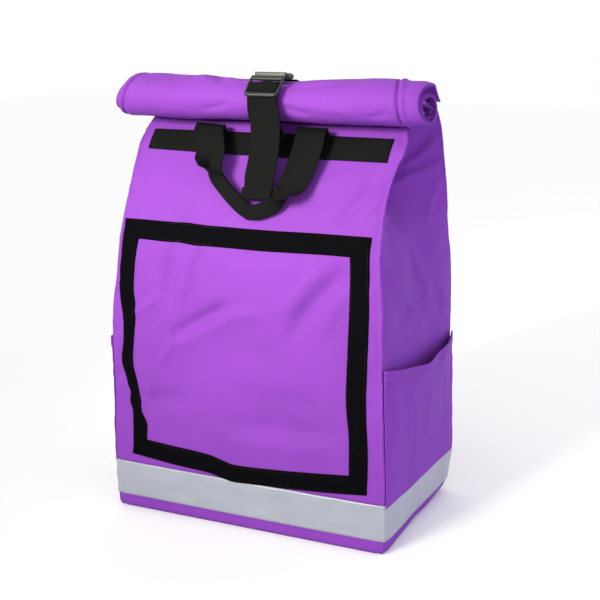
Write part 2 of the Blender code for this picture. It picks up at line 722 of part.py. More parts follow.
def make_buckle():
    """The latch lies on the front of the roll with two windows for the strap, its socket on the top."""
    width = WEBBING + 2 * (BUCKLE_SIDE_GAP + BUCKLE_RAIL)
    opening = WEBBING + 2 * BUCKLE_SIDE_GAP
    deep = BUCKLE_THICK * 3
    latch = add_box("buckle_latch", (width, LATCH_LENGTH, BUCKLE_THICK), "black_plastic", 0.0011)
    low = -LATCH_LENGTH / 2 + BUCKLE_BAR
    cut_window(latch, "lower_window", (opening, BUCKLE_WINDOW, deep), low + BUCKLE_WINDOW / 2)
    upper = BUCKLE_WINDOW * 0.55
    start = low + BUCKLE_WINDOW + MIDDLE_BAR
    cut_window(latch, "upper_window", (opening, upper, deep), start + upper / 2)
    y, z = buckle_point(0.0, LATCH_STAND)
    normal = on_roll(STRAP_X, LATCH_ANGLE, 0.0)[1]
    latch.location = (STRAP_X, y, z)
    latch.rotation_euler = (math.atan2(-normal[0], normal[1]), 0.0, 0.0)
    socket = add_box("buckle_socket", (width, SOCKET_LENGTH, SOCKET_THICK), "black_plastic", 0.0022)
    (y, z), normal = on_roll(STRAP_X, SOCKET_ANGLE, SOCKET_THICK / 2 + 0.0008)
    socket.location = (STRAP_X, y + SOCKET_BACK, z)
    socket.rotation_euler = (math.atan2(-normal[0], normal[1]), 0.0, 0.0)


def back_line(bag):
    """The middle of the back panel, as (y, z) from the base to the mouth."""
    heights = np.array([ring["back_z"] for ring in bag.rings])
    y = np.array([ring["back_y"] + 0.5 * ring["bow"] for ring in bag.rings])
    return y, heights


def make_rear_strap(bag):
    """The socket's webbing: behind the roll, over the mouth and down the top of the back."""
    y, z = back_line(bag)
    line = np.column_stack([y, z])[::-1]
    length = np.concatenate([[0], np.cumsum(np.linalg.norm(np.diff(line, axis=0), axis=1))])
    at = np.append(length[length < REAR_STRAP_LENGTH - 0.003], REAR_STRAP_LENGTH)
    down = np.stack([np.interp(at, length, line[:, k]) for k in (0, 1)], axis=1)
    _, centre_z, half_depth, half_height = roll_station(STRAP_X)
    lift = (centre_z - ROLL_CENTRE_Z) / ROLL_HEIGHT
    tail = roll_line(2 * half_depth / ROLL_DEPTH, 2 * half_height / ROLL_HEIGHT, lift)[:3]
    socket_rear = on_roll(STRAP_X, SOCKET_ANGLE, 0.0)[0][0] + SOCKET_BACK + SOCKET_LENGTH / 2 + 0.0012
    share = np.clip((tail[1, 0] - socket_rear) / (tail[1, 0] - tail[2, 0]), 0.0, 1.0)
    tail[2] = tail[1] * (1 - share) + tail[2] * share
    tail = tail[::-1] if share > 0.02 else tail[1::-1]
    lift_off = np.r_[np.full(len(tail), ROLL_LAYER / 2), np.zeros(len(down))]
    path = np.vstack([tail, down])
    slope = unit(np.gradient(path, axis=0))
    stand = SEWN_GAP + WEBBING_THICK / 2 + WEBBING_SLACK + lift_off
    path = path + np.column_stack([-slope[:, 1], slope[:, 0]]) * stand[:, None]
    path = np.column_stack([np.full(len(path), STRAP_X), path])
    across = np.tile([1.0, 0.0, 0.0], (len(path), 1))
    ribbon("rear_strap", path, across, WEBBING, WEBBING_THICK, "black_webbing")


# The handle's path from its left end to its right end. The columns are the place across as a share
# of half the spread, the distance in front of the handle's root and the way down as shares of the
# drop, and the width as a share of the webbing's width.
HANDLE = {
    "left fold": (-1.00, 0.05, 0.02, 1.00),
    "left over": (-0.97, 0.17, 0.03, 1.00),
    "left shoulder": (-0.90, 0.27, 0.14, 1.00),
    "left leg": (-0.78, 0.40, 0.30, 0.98),
    "left leg low": (-0.69, 0.48, 0.46, 0.94),
    "left twist": (-0.55, 0.53, 0.62, 0.72),
    "left grip": (-0.31, 0.58, 0.78, 0.45),
    "grip": (-0.07, 0.61, 0.92, 0.42),
    "grip low": (0.13, 0.63, 1.00, 0.42),
    "right grip": (0.36, 0.62, 0.97, 0.46),
    "right grip up": (0.56, 0.60, 0.90, 0.60),
    "right twist": (0.72, 0.56, 0.80, 0.82),
    "right leg low": (0.84, 0.50, 0.68, 0.96),
    "right leg": (0.93, 0.40, 0.50, 1.00),
    "right shoulder": (1.00, 0.27, 0.24, 1.00),
    "right over": (1.00, 0.16, 0.05, 1.00),
    "right fold": (0.98, 0.05, 0.02, 1.00),
}


def make_handle(bag):
    """Webbing sewn to the band at both ends, folded forward under the roll, hanging in a loop."""
    foot, head = band_heights(bag)
    stand = SEWN_GAP + WEBBING_THICK + GAP + WEBBING_THICK / 2 + WEBBING_SLACK
    rows = np.array(list(HANDLE.values()))
    half = HANDLE_SPREAD / 2
    root = bag.front_point(HANDLE_CENTRE_X, head)[1] - HANDLE_ROOT
    loop = np.column_stack(
        [
            HANDLE_CENTRE_X + rows[:, 0] * half,
            root - rows[:, 1] * HANDLE_DROP,
            HANDLE_HEAD - rows[:, 2] * HANDLE_DROP,
        ]
    )
    ends = []
    for side in (-1, 1):
        x = HANDLE_CENTRE_X + side * half
        sewn = [
            bag.front_point(x, z) + bag.front_normal(x, z) * stand
            for z in (foot + 0.010, (foot + head) / 2, head - 0.008)
        ]
        ends.append(np.array(sewn))
    path = np.vstack([ends[0], loop, ends[1][::-1]])
    widths = WEBBING * np.concatenate([np.ones(3), rows[:, 3], np.ones(3)])
    fine = smooth_curve(np.column_stack([path, widths]), 46)
    path, widths = fine[:, :3], fine[:, 3]
    tangent = unit(np.gradient(path, axis=0))
    across = np.cross([0.0, -1.0, 0.0], tangent)
    strength = np.linalg.norm(across, axis=1)[:, None]
    share = np.linspace(0, 1, len(path))[:, None]
    sign = np.where(share < 0.5, 1.0, -1.0)
    edge = np.clip(np.abs(share - 0.5) * 2, 0, 1)
    plain = np.array([1.0, 0.0, 0.0]) * sign
    hold = np.clip((edge - 0.50) / 0.12, 0, 1)
    across = across / np.maximum(strength, 1e-6) * (1 - hold) + plain * hold
    ribbon("carry_handle", path, across, widths, WEBBING_THICK, "black_webbing")


# The padded part of a shoulder strap. The columns are the way down as a share of its length, the
# way from the upper to the lower spread, the stand from the back as a share of its largest, and
# shares of its width and of its thickness.
SHOULDER = {
    "sewn end": (0.00, 0.00, 0.22, 0.80, 0.60),
    "root": (0.10, 0.03, 0.34, 0.94, 0.95),
    "shoulder": (0.30, 0.14, 0.78, 1.00, 1.00),
    "chest": (0.55, 0.30, 1.00, 1.00, 1.00),
    "arm": (0.80, 0.45, 0.84, 0.94, 1.00),
    "taper": (0.95, 0.54, 0.60, 0.74, 0.90),
    "end": (1.00, 0.57, 0.52, 0.58, 0.60),
}
PAD_SIDES = 12


def back_surface(bag, z):
    y, heights = back_line(bag)
    return np.interp(z, heights, y)


def shoulder_path(bag, side):
    """Centre, width and thickness down one padded strap."""
    rows = np.array(list(SHOULDER.values()))
    z = SHOULDER_TOP - rows[:, 0] * SHOULDER_LENGTH
    spread = SHOULDER_SPREAD / 2 + (LOWER_SPREAD - SHOULDER_SPREAD) / 2 * rows[:, 1]
    y = back_surface(bag, z) + rows[:, 2] * SHOULDER_STAND
    table = np.column_stack([side * spread, y, z, rows[:, 3] * SHOULDER_WIDTH, rows[:, 4] * SHOULDER_THICK])
    return smooth_curve(table, 15)


def frame_along(path):
    """Tangent, sideways and outward directions along a strap on the back."""
    tangent = unit(np.gradient(path, axis=0))
    side = unit(np.cross(tangent, [0.0, 1.0, 0.0]))
    return tangent, side, np.cross(side, tangent)


def make_shoulder_strap(bag, name, side):
    """A soft pad: rounded sections carried down its path, closed at both ends."""
    table = shoulder_path(bag, side)
    path = table[:, :3]
    _, across, out = frame_along(path)
    turn = np.linspace(0, 2 * math.pi, PAD_SIDES, endpoint=False)
    flat = np.sign(np.cos(turn)) * np.abs(np.cos(turn)) ** 0.45
    high = np.sign(np.sin(turn)) * np.abs(np.sin(turn)) ** 0.8
    sections = (
        path[:, None]
        + across[:, None] * (flat[None, :, None] * table[:, 3, None, None] / 2)
        + out[:, None] * (high[None, :, None] * table[:, 4, None, None] / 2)
    )
    faces = grid_faces(len(path), PAD_SIDES, wrap=True)
    faces.append(tuple(reversed(range(PAD_SIDES))))
    faces.append(tuple((len(path) - 1) * PAD_SIDES + i for i in range(PAD_SIDES)))
    pad = add_object(name, sections.reshape(-1, 3), faces, "black_padding")
    outward(pad)


def outward(obj):
    """Turns a closed mesh's faces outwards."""
    bm = bmesh.new()
    bm.from_mesh(obj.data)
    bmesh.ops.recalc_face_normals(bm, faces=bm.faces)
    bm.to_mesh(obj.data)
    bm.free()


def lock_frame(bag, side):
    """The ladder lock's middle, slope, side and outward directions, just below the pad."""
    table = shoulder_path(bag, side)
    end = table[-1, :3]
    anchor_z = LOWER_ANCHOR
    anchor = np.array([side * LOWER_SPREAD / 2, back_surface(bag, anchor_z), anchor_z])
    slope = unit(anchor - end)
    across = unit(np.cross(slope, [0.0, 1.0, 0.0]))
    out = np.cross(across, slope)
    length = 3 * LOCK_BAR + 2 * LOCK_WINDOW
    middle = end + slope * (length / 2 + 0.0035)
    return middle, slope, across, out, length, anchor


def make_ladder_lock(bag, name, side):
    middle, slope, across, out, length, _ = lock_frame(bag, side)
    width = LOWER_WEBBING + 0.007
    opening = LOWER_WEBBING + 0.0016
    lock = add_box(name, (width, length, LOCK_THICK), "black_plastic", 0.0007)
    step = (LOCK_BAR + LOCK_WINDOW) / 2
    cut_window(lock, name + "_window_a", (opening, LOCK_WINDOW, LOCK_THICK * 3), step)
    cut_window(lock, name + "_window_b", (opening, LOCK_WINDOW, LOCK_THICK * 3), -step)
    lock.matrix_world = Matrix(
        (
            (across[0], slope[0], -out[0], middle[0]),
            (across[1], slope[1], -out[1], middle[1]),
            (across[2], slope[2], -out[2], middle[2]),
            (0.0, 0.0, 0.0, 1.0),
        )
    )


def make_strap_webbing(bag, name, side):
    """Narrow webbing: under, over and under the lock's bars, then down to the foot of the back."""
    middle, slope, across, out, length, anchor = lock_frame(bag, side)
    over = LOCK_THICK / 2 + GAP + WEBBING_THICK / 2 + 0.0003
    step = LOCK_BAR + LOCK_WINDOW
    bar = LOCK_BAR * 0.5
    places = [
        (-step - LOCK_BAR * 0.5, -over),
        (-step + bar, -over),
        (-bar, over),
        (bar, over),
        (step - bar, -over),
        (step + LOCK_BAR * 0.5, -over),
    ]
    path = [middle + slope * along + out * above for along, above in places]
    sewn = anchor + np.array([0.0, SEWN_GAP + WEBBING_THICK / 2 + 0.0010, 0.0])
    low = sewn + np.array([-side * 0.001, 0.0009, 0.012])
    path += [path[-1] * (1 - t) + low * t for t in (0.33, 0.66, 1.0)]
    path.append(sewn)
    across = np.tile(across, (len(path), 1))
    ribbon(name, path, across, LOWER_WEBBING, WEBBING_THICK, "black_webbing")


def main():
    clear_scene()
    bag = Bag()
    make_shell(bag)
    make_fastener_frame(bag)
    make_top_band(bag)
    make_reflective_band(bag)
    make_pocket(bag, "side_pocket_right", 1)
    make_pocket(bag, "side_pocket_left", -1)
    make_roll()
    make_closure_strap(bag)
    make_buckle()
    make_rear_strap(bag)
    make_handle(bag)
    for name, side in (("right", 1), ("left", -1)):
        make_shoulder_strap(bag, "shoulder_strap_" + name, side)
        make_ladder_lock(bag, "ladder_lock_" + name, side)
        make_strap_webbing(bag, "strap_webbing_" + name, side)


main()
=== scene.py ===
"""Looks of the roll-top backpack: cloth, webbing, buckle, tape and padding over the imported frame."""

import math

import bpy
import numpy as np
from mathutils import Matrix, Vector


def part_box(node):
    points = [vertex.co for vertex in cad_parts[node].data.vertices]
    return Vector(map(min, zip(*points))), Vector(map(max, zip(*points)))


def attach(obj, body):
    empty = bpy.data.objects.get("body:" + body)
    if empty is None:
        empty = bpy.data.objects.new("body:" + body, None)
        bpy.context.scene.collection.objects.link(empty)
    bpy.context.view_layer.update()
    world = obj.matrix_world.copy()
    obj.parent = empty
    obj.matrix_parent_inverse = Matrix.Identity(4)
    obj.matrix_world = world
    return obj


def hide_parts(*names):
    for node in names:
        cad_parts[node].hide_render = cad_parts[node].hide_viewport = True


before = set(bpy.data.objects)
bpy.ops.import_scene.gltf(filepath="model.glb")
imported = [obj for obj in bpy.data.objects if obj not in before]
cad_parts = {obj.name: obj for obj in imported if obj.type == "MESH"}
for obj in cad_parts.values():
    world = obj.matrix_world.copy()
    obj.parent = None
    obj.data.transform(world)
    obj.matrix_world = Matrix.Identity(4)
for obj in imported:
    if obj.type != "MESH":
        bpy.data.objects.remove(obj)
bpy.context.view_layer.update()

# Sizes shared with the solids, in metres
WIDTH = 0.400
DEPTH = 0.240
MOUTH_HEIGHT = 0.583
SIDE_CLOTH = 0.262
WEBBING = 0.040
WEBBING_THICK = 0.0016
TAPE_FOOT = 0.019
TAPE_WIDTH = 0.050
TAPE_THICK = 0.0007
ROLL_LENGTH = 0.425
ROLL_SHIFT_X = 0.0145
ROLL_DEPTH = 0.072
ROLL_HEIGHT = 0.062
ROLL_LAYER = 0.0032
ROLL_TURNS = 2.3
ROLL_PITCH = 0.0098
ROLL_CENTRE_Y = -0.4833 * DEPTH / 2
ROLL_CENTRE_Z = MOUTH_HEIGHT - 0.019
STRAP_X = 0.018
STRIP_THICK = 0.0018
BAND_WIDTH = 0.034

# Thickness of the cloth and how far things stand off it, in metres
PANEL_CLOTH = 0.0016
HEM_CLOTH = 0.0010
POCKET_CLOTH = 0.0012
ROLL_CLOTH = 0.0013
TAPE_STAND = 0.0009
STRIP_STAND = 0.0005
BAND_STAND = 0.0006

MM = 0.001
LEFTWARD = np.array([-1.0, 0.0, 0.0])

# Sections of the bag: front y, front z, back y, back z, left x, front right x, back right x, seam
# radius, belly, pleat
SECTIONS = [
    (-0.975, 0.0000, 0.985, 0.0000, -0.990, 0.985, 0.990, 0.040, 0.000, 0.00),
    (-1.000, 0.0100, 1.005, 0.0100, -1.000, 0.997, 1.022, 0.040, 0.002, 0.00),
    (-1.000, 0.0326, 1.015, 0.0326, -1.000, 1.000, 1.045, 0.034, 0.004, 0.00),
    (-1.012, 0.1184, 1.030, 0.1184, -1.000, 1.000, 1.068, 0.030, 0.008, 0.00),
    (-1.040, 0.2000, 1.050, 0.2000, -0.988, 1.000, 1.056, 0.028, 0.014, 0.00),
    (-1.075, 0.3080, 1.060, 0.3080, -0.964, 0.993, 1.045, 0.028, 0.018, 0.00),
    (-1.090, 0.4100, 1.060, 0.4100, -0.962, 0.986, 1.030, 0.028, 0.020, 0.00),
    (-1.098, 0.5000, 1.050, 0.5050, -0.948, 0.985, 1.030, 0.028, 0.020, 0.00),
    (-1.092, 0.5830, 1.030, 0.5900, -0.908, 0.975, 1.022, 0.028, 0.020, 0.00),
    (-1.060, 0.6600, 0.990, 0.6750, -0.890, 0.955, 1.002, 0.026, 0.020, 0.22),
    (-0.925, 0.7240, 0.930, 0.7550, -0.898, 0.942, 1.006, 0.020, 0.020, 0.62),
    (-0.800, 0.7800, 0.850, 0.8350, -0.896, 0.944, 0.994, 0.013, 0.016, 0.88),
    (-0.640, 0.8350, 0.720, 0.9000, -0.908, 0.965, 1.000, 0.010, 0.010, 1.00),
    (-0.530, 0.8730, 0.420, 0.9560, -0.918, 1.010, 1.020, 0.009, 0.004, 1.00),
    (-0.340, 0.9220, 0.070, 0.9960, -0.912, 1.035, 1.035, 0.009, 0.000, 1.00),
]
FRONT_Y, FRONT_Z, BACK_Y, BACK_Z, LEFT_X, RIGHT_X, BACK_RIGHT_X, RADIUS, BELLY, PLEAT = range(10)

# Broad hollows: place across and up, reach across and up, slope, depth, as shares
FRONT_HOLLOWS = [
    (-0.62, 0.330, 0.34, 0.070, 0.6, 0.011),
    (-0.70, 0.450, 0.40, 0.080, 0.0, -0.010),
    (0.10, 0.650, 0.50, 0.060, 0.0, 0.009),
    (0.45, 0.270, 0.40, 0.080, -0.4, 0.008),
]
SIDE_HOLLOWS = [
    (0.20, 0.640, 0.50, 0.090, 0.8, 0.030),
    (0.10, 0.500, 0.60, 0.040, -0.5, 0.014),
]

# Folds of the front in mm: the line as (x, z), then width, height (negative is a valley) and lean
FRONT_FOLDS = [
    ([(-52, 462), (-58, 446), (-74, 421), (-84, 399), (-92, 360), (-99, 323), (-98, 280)], 11, -4.3, 0.0),
    ([(-34, 440), (-44, 410), (-66, 372), (-74, 339), (-84, 304), (-80, 280)], 9, 3.4, 0.0),
    ([(-162, 284), (-150, 291), (-130, 303), (-108, 320)], 6, 3.7, -1.6),
    ([(-118, 322), (-114, 311), (-97, 262), (-106, 236), (-130, 212)], 6, 3.4, 0.9),
    ([(-112, 240), (-98, 248), (-63, 266), (-26, 287), (11, 304), (60, 298)], 8, 3.6, -1.7),
    ([(-104, 262), (-70, 278), (-44, 294), (0, 316)], 9, -5.3, 0.0),
    ([(160, 388), (150, 374), (132, 354), (112, 333), (94, 311), (82, 288), (68, 255)], 13, -7.1, 0.0),
    ([(156, 352), (131, 320), (118, 276)], 10, 2.8, 0.0),
    ([(122, 374), (90, 338), (64, 300)], 12, 2.8, 0.0),
    ([(-40, 140), (0, 147), (50, 150), (103, 153), (158, 157)], 14, -4.0, -1.6),
    ([(-60, 130), (40, 128), (150, 132)], 16, 2.5, 0.0),
    ([(172, 486), (166, 476), (154, 455), (143, 440), (122, 420)], 8, -4.3, 0.0),
    ([(184, 470), (170, 446), (150, 424)], 8, 2.5, 0.0),
    ([(-150, 470), (-140, 440), (-136, 420)], 14, -2.5, 0.0),
    ([(60, 470), (90, 452), (130, 458)], 12, -2.5, 0.0),
    ([(-150, 150), (-120, 170), (-70, 180)], 14, -3.1, 0.9),
    ([(-155, 225), (-140, 200), (-132, 165)], 9, 3.1, 0.0),
    ([(-20, 230), (40, 215), (110, 225)], 20, 2.5, 0.0),
    ([(20, 190), (70, 196), (140, 186)], 16, -2.0, 0.0),
]
# Folds of the right side panel in mm, as (y, z)
SIDE_FOLDS = [
    ([(98, 552), (82, 520), (60, 492), (30, 470), (0, 452)], 6, -8.5, 3.0),
    ([(122, 500), (100, 486), (76, 478), (48, 470), (20, 455)], 4, -7.5, 4.5),
    ([(118, 470), (96, 452), (70, 420), (56, 392)], 7, 5.5, -2.4),
    ([(-146, 388), (-142, 382), (-106, 359), (-57, 330), (34, 274)], 6, 4.8, -2.8),
    ([(-108, 484), (-103, 468), (-74, 434), (-61, 384)], 6, 3.6, 1.4),
    ([(-56, 424), (-53, 418), (-11, 386), (13, 341), (40, 290)], 7, 4.2, 1.6),
    ([(-60, 450), (-20, 440), (20, 448)], 8, -4.2, 0.0),
    ([(20, 400), (60, 370), (100, 376)], 9, 3.6, 0.0),
    ([(-100, 310), (-60, 300), (-20, 306)], 11, -3.4, 0.0),
    ([(40, 330), (70, 300), (90, 268)], 8, -3.6, 1.0),
]
LEFT_FOLDS = [
    ([(-130, 330), (-80, 322), (-20, 290), (20, 282)], 8, 3.2, -1.2),
    ([(-100, 470), (-60, 430), (-50, 380)], 8, 2.4, 0.8),
    ([(60, 420), (20, 380), (0, 330), (20, 280)], 8, 2.4, 0.0),
    ([(-40, 452), (10, 444), (50, 452)], 9, -2.4, 0.0),
]
BACK_FOLDS = [
    ([(-180, 430), (-120, 402), (-40, 398)], 12, -2.6, 0.0),
    ([(182, 420), (120, 398), (50, 402)], 12, -2.4, 0.0),
    ([(-150, 300), (-90, 262), (-60, 200)], 12, 2.4, -0.8),
    ([(150, 320), (100, 260), (84, 190)], 12, 2.2, 0.8),
    ([(-60, 160), (0, 150), (70, 162)], 16, -2.2, 0.0),
    ([(-40, 330), (10, 300), (60, 318)], 18, -2.2, 0.0),
]


def unit(vectors):
    """Vectors scaled to a length of one."""
    return vectors / np.maximum(np.linalg.norm(vectors, axis=-1, keepdims=True), 1e-12)


def smooth_step(value, low, high):
    """0 below low, 1 above high, and an S curve between."""
    t = np.clip((value - low) / (high - low), 0, 1)
    return t * t * (3 - 2 * t)


def lattice_noise(u, v, cell, seed):
    """Smooth noise from -1 to 1: random numbers at the corners of square cells, blended by a cubic ease."""
    table = np.random.default_rng(seed).uniform(-1, 1, (64, 64))
    a, b = np.broadcast_arrays(np.asarray(u, float) / cell, np.asarray(v, float) / cell)
    i, j = np.floor(a).astype(int), np.floor(b).astype(int)
    s, t = a - i, b - j
    s, t = s * s * (3 - 2 * s), t * t * (3 - 2 * t)
    at = lambda p, q: table[p % 64, q % 64]
    near = at(i, j) * (1 - s) + at(i + 1, j) * s
    far = at(i, j + 1) * (1 - s) + at(i + 1, j + 1) * s
    return near * (1 - t) + far * t


def spline(points, per_span=16):
    """Catmull-Rom curve through the points, with that many samples to a span."""
    rows = np.asarray(points, float)
    ends = np.vstack([2 * rows[0] - rows[1], rows, 2 * rows[-1] - rows[-2]])
    return spans(ends, per_span)


def spans(ends, per_span):
    """The Catmull-Rom cubic of each four neighbours, the outer two being only directions."""
    count = len(ends) - 3
    a, b, c, d = (ends[k : k + count] for k in range(4))
    t = np.linspace(0, 1, per_span, endpoint=False)[:, None, None]
    curve = 0.5 * (2 * b + (c - a) * t + (2 * a - 5 * b + 4 * c - d) * t**2 + (3 * b - a - 3 * c + d) * t**3)
    return np.vstack([curve.transpose(1, 0, 2).reshape(-1, ends.shape[1]), ends[-2:-1]])


def run_length(points):
    """Length along a line up to each of its points."""
    return np.concatenate([[0], np.cumsum(np.linalg.norm(np.diff(points, axis=0), axis=1))])


def resample(points, count, length=None):
    """The same line read at evenly spaced places along its length."""
    length = run_length(points) if length is None else length
    at = np.linspace(0, length[-1], count)
    return np.stack([np.interp(at, length, points[:, k]) for k in range(points.shape[1])], axis=1)


def even_curve(points, count):
    """A smooth curve through the points, read at evenly spaced places."""
    return resample(spline(points), count)


def fold_height(u, v, folds):
    """Sum of folds: each is a rounded ridge beside a line, exp(-(distance/width)^2) high, that fades
    out at both ends; lean adds a hollow on one side of the line. Numbers in mm, result in metres."""
    u, v = np.asarray(u, float) * 1000, np.asarray(v, float) * 1000
    total = np.zeros(np.broadcast(u, v).shape)
    for line, width, height, lean in folds:
        line = spline(line, 4)
        length = run_length(line)
        near = np.full(total.shape, 1e9)
        signed = np.zeros(total.shape)
        place = np.zeros(total.shape)
        for k in range(len(line) - 1):
            start, way = line[k], line[k + 1] - line[k]
            reach = way @ way
            t = np.clip(((u - start[0]) * way[0] + (v - start[1]) * way[1]) / reach, 0, 1)
            du, dv = u - start[0] - t * way[0], v - start[1] - t * way[1]
            distance = np.hypot(du, dv)
            closer = distance < near
            near = np.where(closer, distance, near)
            signed = np.where(closer, np.sign(way[0] * dv - way[1] * du) * distance, signed)
            place = np.where(closer, (length[k] + t * np.sqrt(reach)) / length[-1], place)
        fade = smooth_step(place, 0.0, 0.30) * smooth_step(1 - place, 0.0, 0.30)
        bump = np.exp(-((near / width) ** 2))
        wide = np.exp(-((near / (1.8 * width)) ** 2))
        total += fade * (height * bump + lean * (signed / width) * wide)
    return total / 1000


def hollows(table, across, up):
    """Sum of broad hollows, each exp(-a^2 - b^2) deep, over shares across and up the bag."""
    total = np.zeros(np.broadcast(across, up).shape)
    for place_a, place_z, reach_a, reach_z, slope, depth in table:
        a = (across - place_a) / reach_a
        b = (up - place_z) / reach_z - slope * a
        total = total + depth * DEPTH * np.exp(-(a**2) - b**2)
    return total


# ---- meshes -------------------------------------------------------------------------------------


def add_object(name, data):
    """A new object in the scene's collection."""
    obj = bpy.data.objects.new(name, data)
    bpy.context.scene.collection.objects.link(obj)
    return obj


def add_mesh(name, vertices, faces):
    """An object with these vertices and faces, smoothly shaded."""
    mesh = bpy.data.meshes.new(name)
    mesh.from_pydata(vertices.reshape(-1, 3).tolist(), [], faces)
    mesh.shade_smooth()
    return add_object(name, mesh)


def grid_quads(rows, columns, wrap):
    """Corner numbers of a grid's quads; wrap joins the last column to the first."""
    i, j = np.meshgrid(np.arange(rows - 1), np.arange(columns if wrap else columns - 1), indexing="ij")
    k = (j + 1) % columns
    quads = [i * columns + j, i * columns + k, (i + 1) * columns + k, (i + 1) * columns + j]
    return np.stack(quads, -1).reshape(-1, 4)


def grid_mesh(name, points, uv=None, wrap=False, caps=False):
    """A mesh of quads over a grid of points (rows, columns, 3); wrap joins the last column to the
    first, caps closes both end rows with a fan, and uv is a (rows, columns, 2) layout in metres."""
    rows, columns = points.shape[:2]
    vertices = points.reshape(-1, 3)
    faces = grid_quads(rows, columns, wrap).tolist()
    if uv is None:
        across = np.linalg.norm(np.diff(points, axis=1), axis=-1).mean(0)
        along = np.linalg.norm(np.diff(points, axis=0), axis=-1).mean(1)
        uv = np.stack(np.meshgrid(np.append(0, np.cumsum(across)), np.append(0, np.cumsum(along))), -1)
    flat = uv.reshape(-1, 2)
    if caps:
        vertices = np.vstack([vertices, points[0].mean(0), points[-1].mean(0)])
        flat = np.vstack([flat, flat.mean(0), flat.mean(0)])
        j = np.arange(columns)
        k = (j + 1) % columns
        top = (rows - 1) * columns
        faces += np.stack([np.full(columns, rows * columns), k, j], -1).tolist()
        faces += np.stack([np.full(columns, rows * columns + 1), top + j, top + k], -1).tolist()
    obj = add_mesh(name, vertices, faces)
    index = np.zeros(len(obj.data.loops), np.int32)
    obj.data.loops.foreach_get("vertex_index", index)
    layout = obj.data.uv_layers.new(name="cloth")
    layout.data.foreach_set("uv", flat[index].astype(np.float32).ravel())
    return obj


def wall(obj, thickness, offset):
    """Gives a sheet its thickness."""
    made = obj.modifiers.new("wall", "SOLIDIFY")
    made.thickness = thickness
    made.offset = offset
    made.use_even_offset = False
    made.use_rim = True
    return obj


def place(obj, finish, slot, nodes=()):
    """Gives a piece its finish and its place in the frame."""
    obj.data.materials.clear()
    obj.data.materials.append(finish)
    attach(obj, "root")
    if nodes:
        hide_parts(*nodes)
    return obj


def grid_normals(points):
    """Outward normals of a grid whose columns run rightwards and rows upwards, seen from outside."""
    run = np.gradient(points, axis=1)
    rise = np.gradient(points, axis=0)
    return unit(np.cross(run, rise))


# ---- finishes -----------------------------------------------------------------------------------


class Finish:
    """A Principled material built node by node."""

    def __init__(self, name, colour, roughness, **sockets):
        """The shader's own values; an underscore in a socket's name stands for a space."""
        self.material = bpy.data.materials.new(name)
        self.material.use_nodes = True
        self.tree = self.material.node_tree
        self.shader = self.tree.nodes["Principled BSDF"]
        self.shader.inputs["Base Color"].default_value = (*colour, 1)
        self.shader.inputs["Roughness"].default_value = roughness
        for socket, value in sockets.items():
            self.shader.inputs[socket.replace("_", " ")].default_value = value
        self.colour = colour
        self.normal = None

    def node(self, kind, sockets, **settings):
        """A node with its settings; a socket takes a value or another node's output."""
        made = self.tree.nodes.new(kind)
        for key, value in settings.items():
            setattr(made, key, value)
        for key, value in sockets.items():
            if isinstance(value, bpy.types.NodeSocket):
                self.tree.links.new(value, made.inputs[key])
            else:
                made.inputs[key].default_value = value
        return made

    def places(self, kind, turn=0.0):
        """Object or UV coordinates, turned."""
        if kind == "UV":
            source = self.node("ShaderNodeUVMap", {}, uv_map="cloth").outputs["UV"]
        else:
            source = self.node("ShaderNodeTexCoord", {}).outputs["Object"]
        return self.node("ShaderNodeMapping", {"Vector": source, "Rotation": (0, 0, turn)}).outputs["Vector"]

    def noise(self, places, scale, detail=2.0, rough=0.5):
        """Cloudy noise."""
        sockets = {"Vector": places, "Scale": scale, "Detail": detail, "Roughness": rough}
        return self.node("ShaderNodeTexNoise", sockets).outputs["Fac"]

    def wave(self, places, pitch, direction, profile="SIN"):
        """Bands that repeat at that pitch, in metres."""
        sockets = {"Vector": places, "Scale": math.pi / (10 * pitch)}
        made = self.node("ShaderNodeTexWave", sockets, bands_direction=direction, wave_profile=profile)
        return made.outputs["Fac"]

    def maths(self, operation, a, b):
        """One operation on two numbers or outputs."""
        return self.node("ShaderNodeMath", {0: a, 1: b}, operation=operation).outputs[0]

    def blend(self, a, share_a, b, share_b):
        """The weighted sum of two outputs."""
        return self.maths("ADD", self.maths("MULTIPLY", a, share_a), self.maths("MULTIPLY", b, share_b))

    def shade(self, factor, *stops):
        """The base colour times a tone that follows the factor through (place, tone) stops."""
        made = self.node("ShaderNodeValToRGB", {"Fac": factor})
        tones = [(at, (*(min(1.0, c * tone) for c in self.colour), 1)) for at, tone in stops]
        elements = made.color_ramp.elements
        elements[0].position, elements[0].color = tones[0]
        elements[1].position, elements[1].color = tones[-1]
        for at, tone in tones[1:-1]:
            elements.new(at).color = tone
        self.tree.links.new(made.outputs["Color"], self.shader.inputs["Base Color"])

    def vary_roughness(self, factor, low, high):
        """Roughness that follows the factor between two values."""
        made = self.node("ShaderNodeMapRange", {"Value": factor, "To Min": low, "To Max": high})
        self.tree.links.new(made.outputs["Result"], self.shader.inputs["Roughness"])

    def bump(self, height, strength, distance):
        """Fine relief, on top of the bumps made before it."""
        sockets = {"Height": height, "Strength": strength, "Distance": distance}
        if self.normal is not None:
            sockets["Normal"] = self.normal
        self.normal = self.node("ShaderNodeBump", sockets).outputs["Normal"]
        self.tree.links.new(self.normal, self.shader.inputs["Normal"])


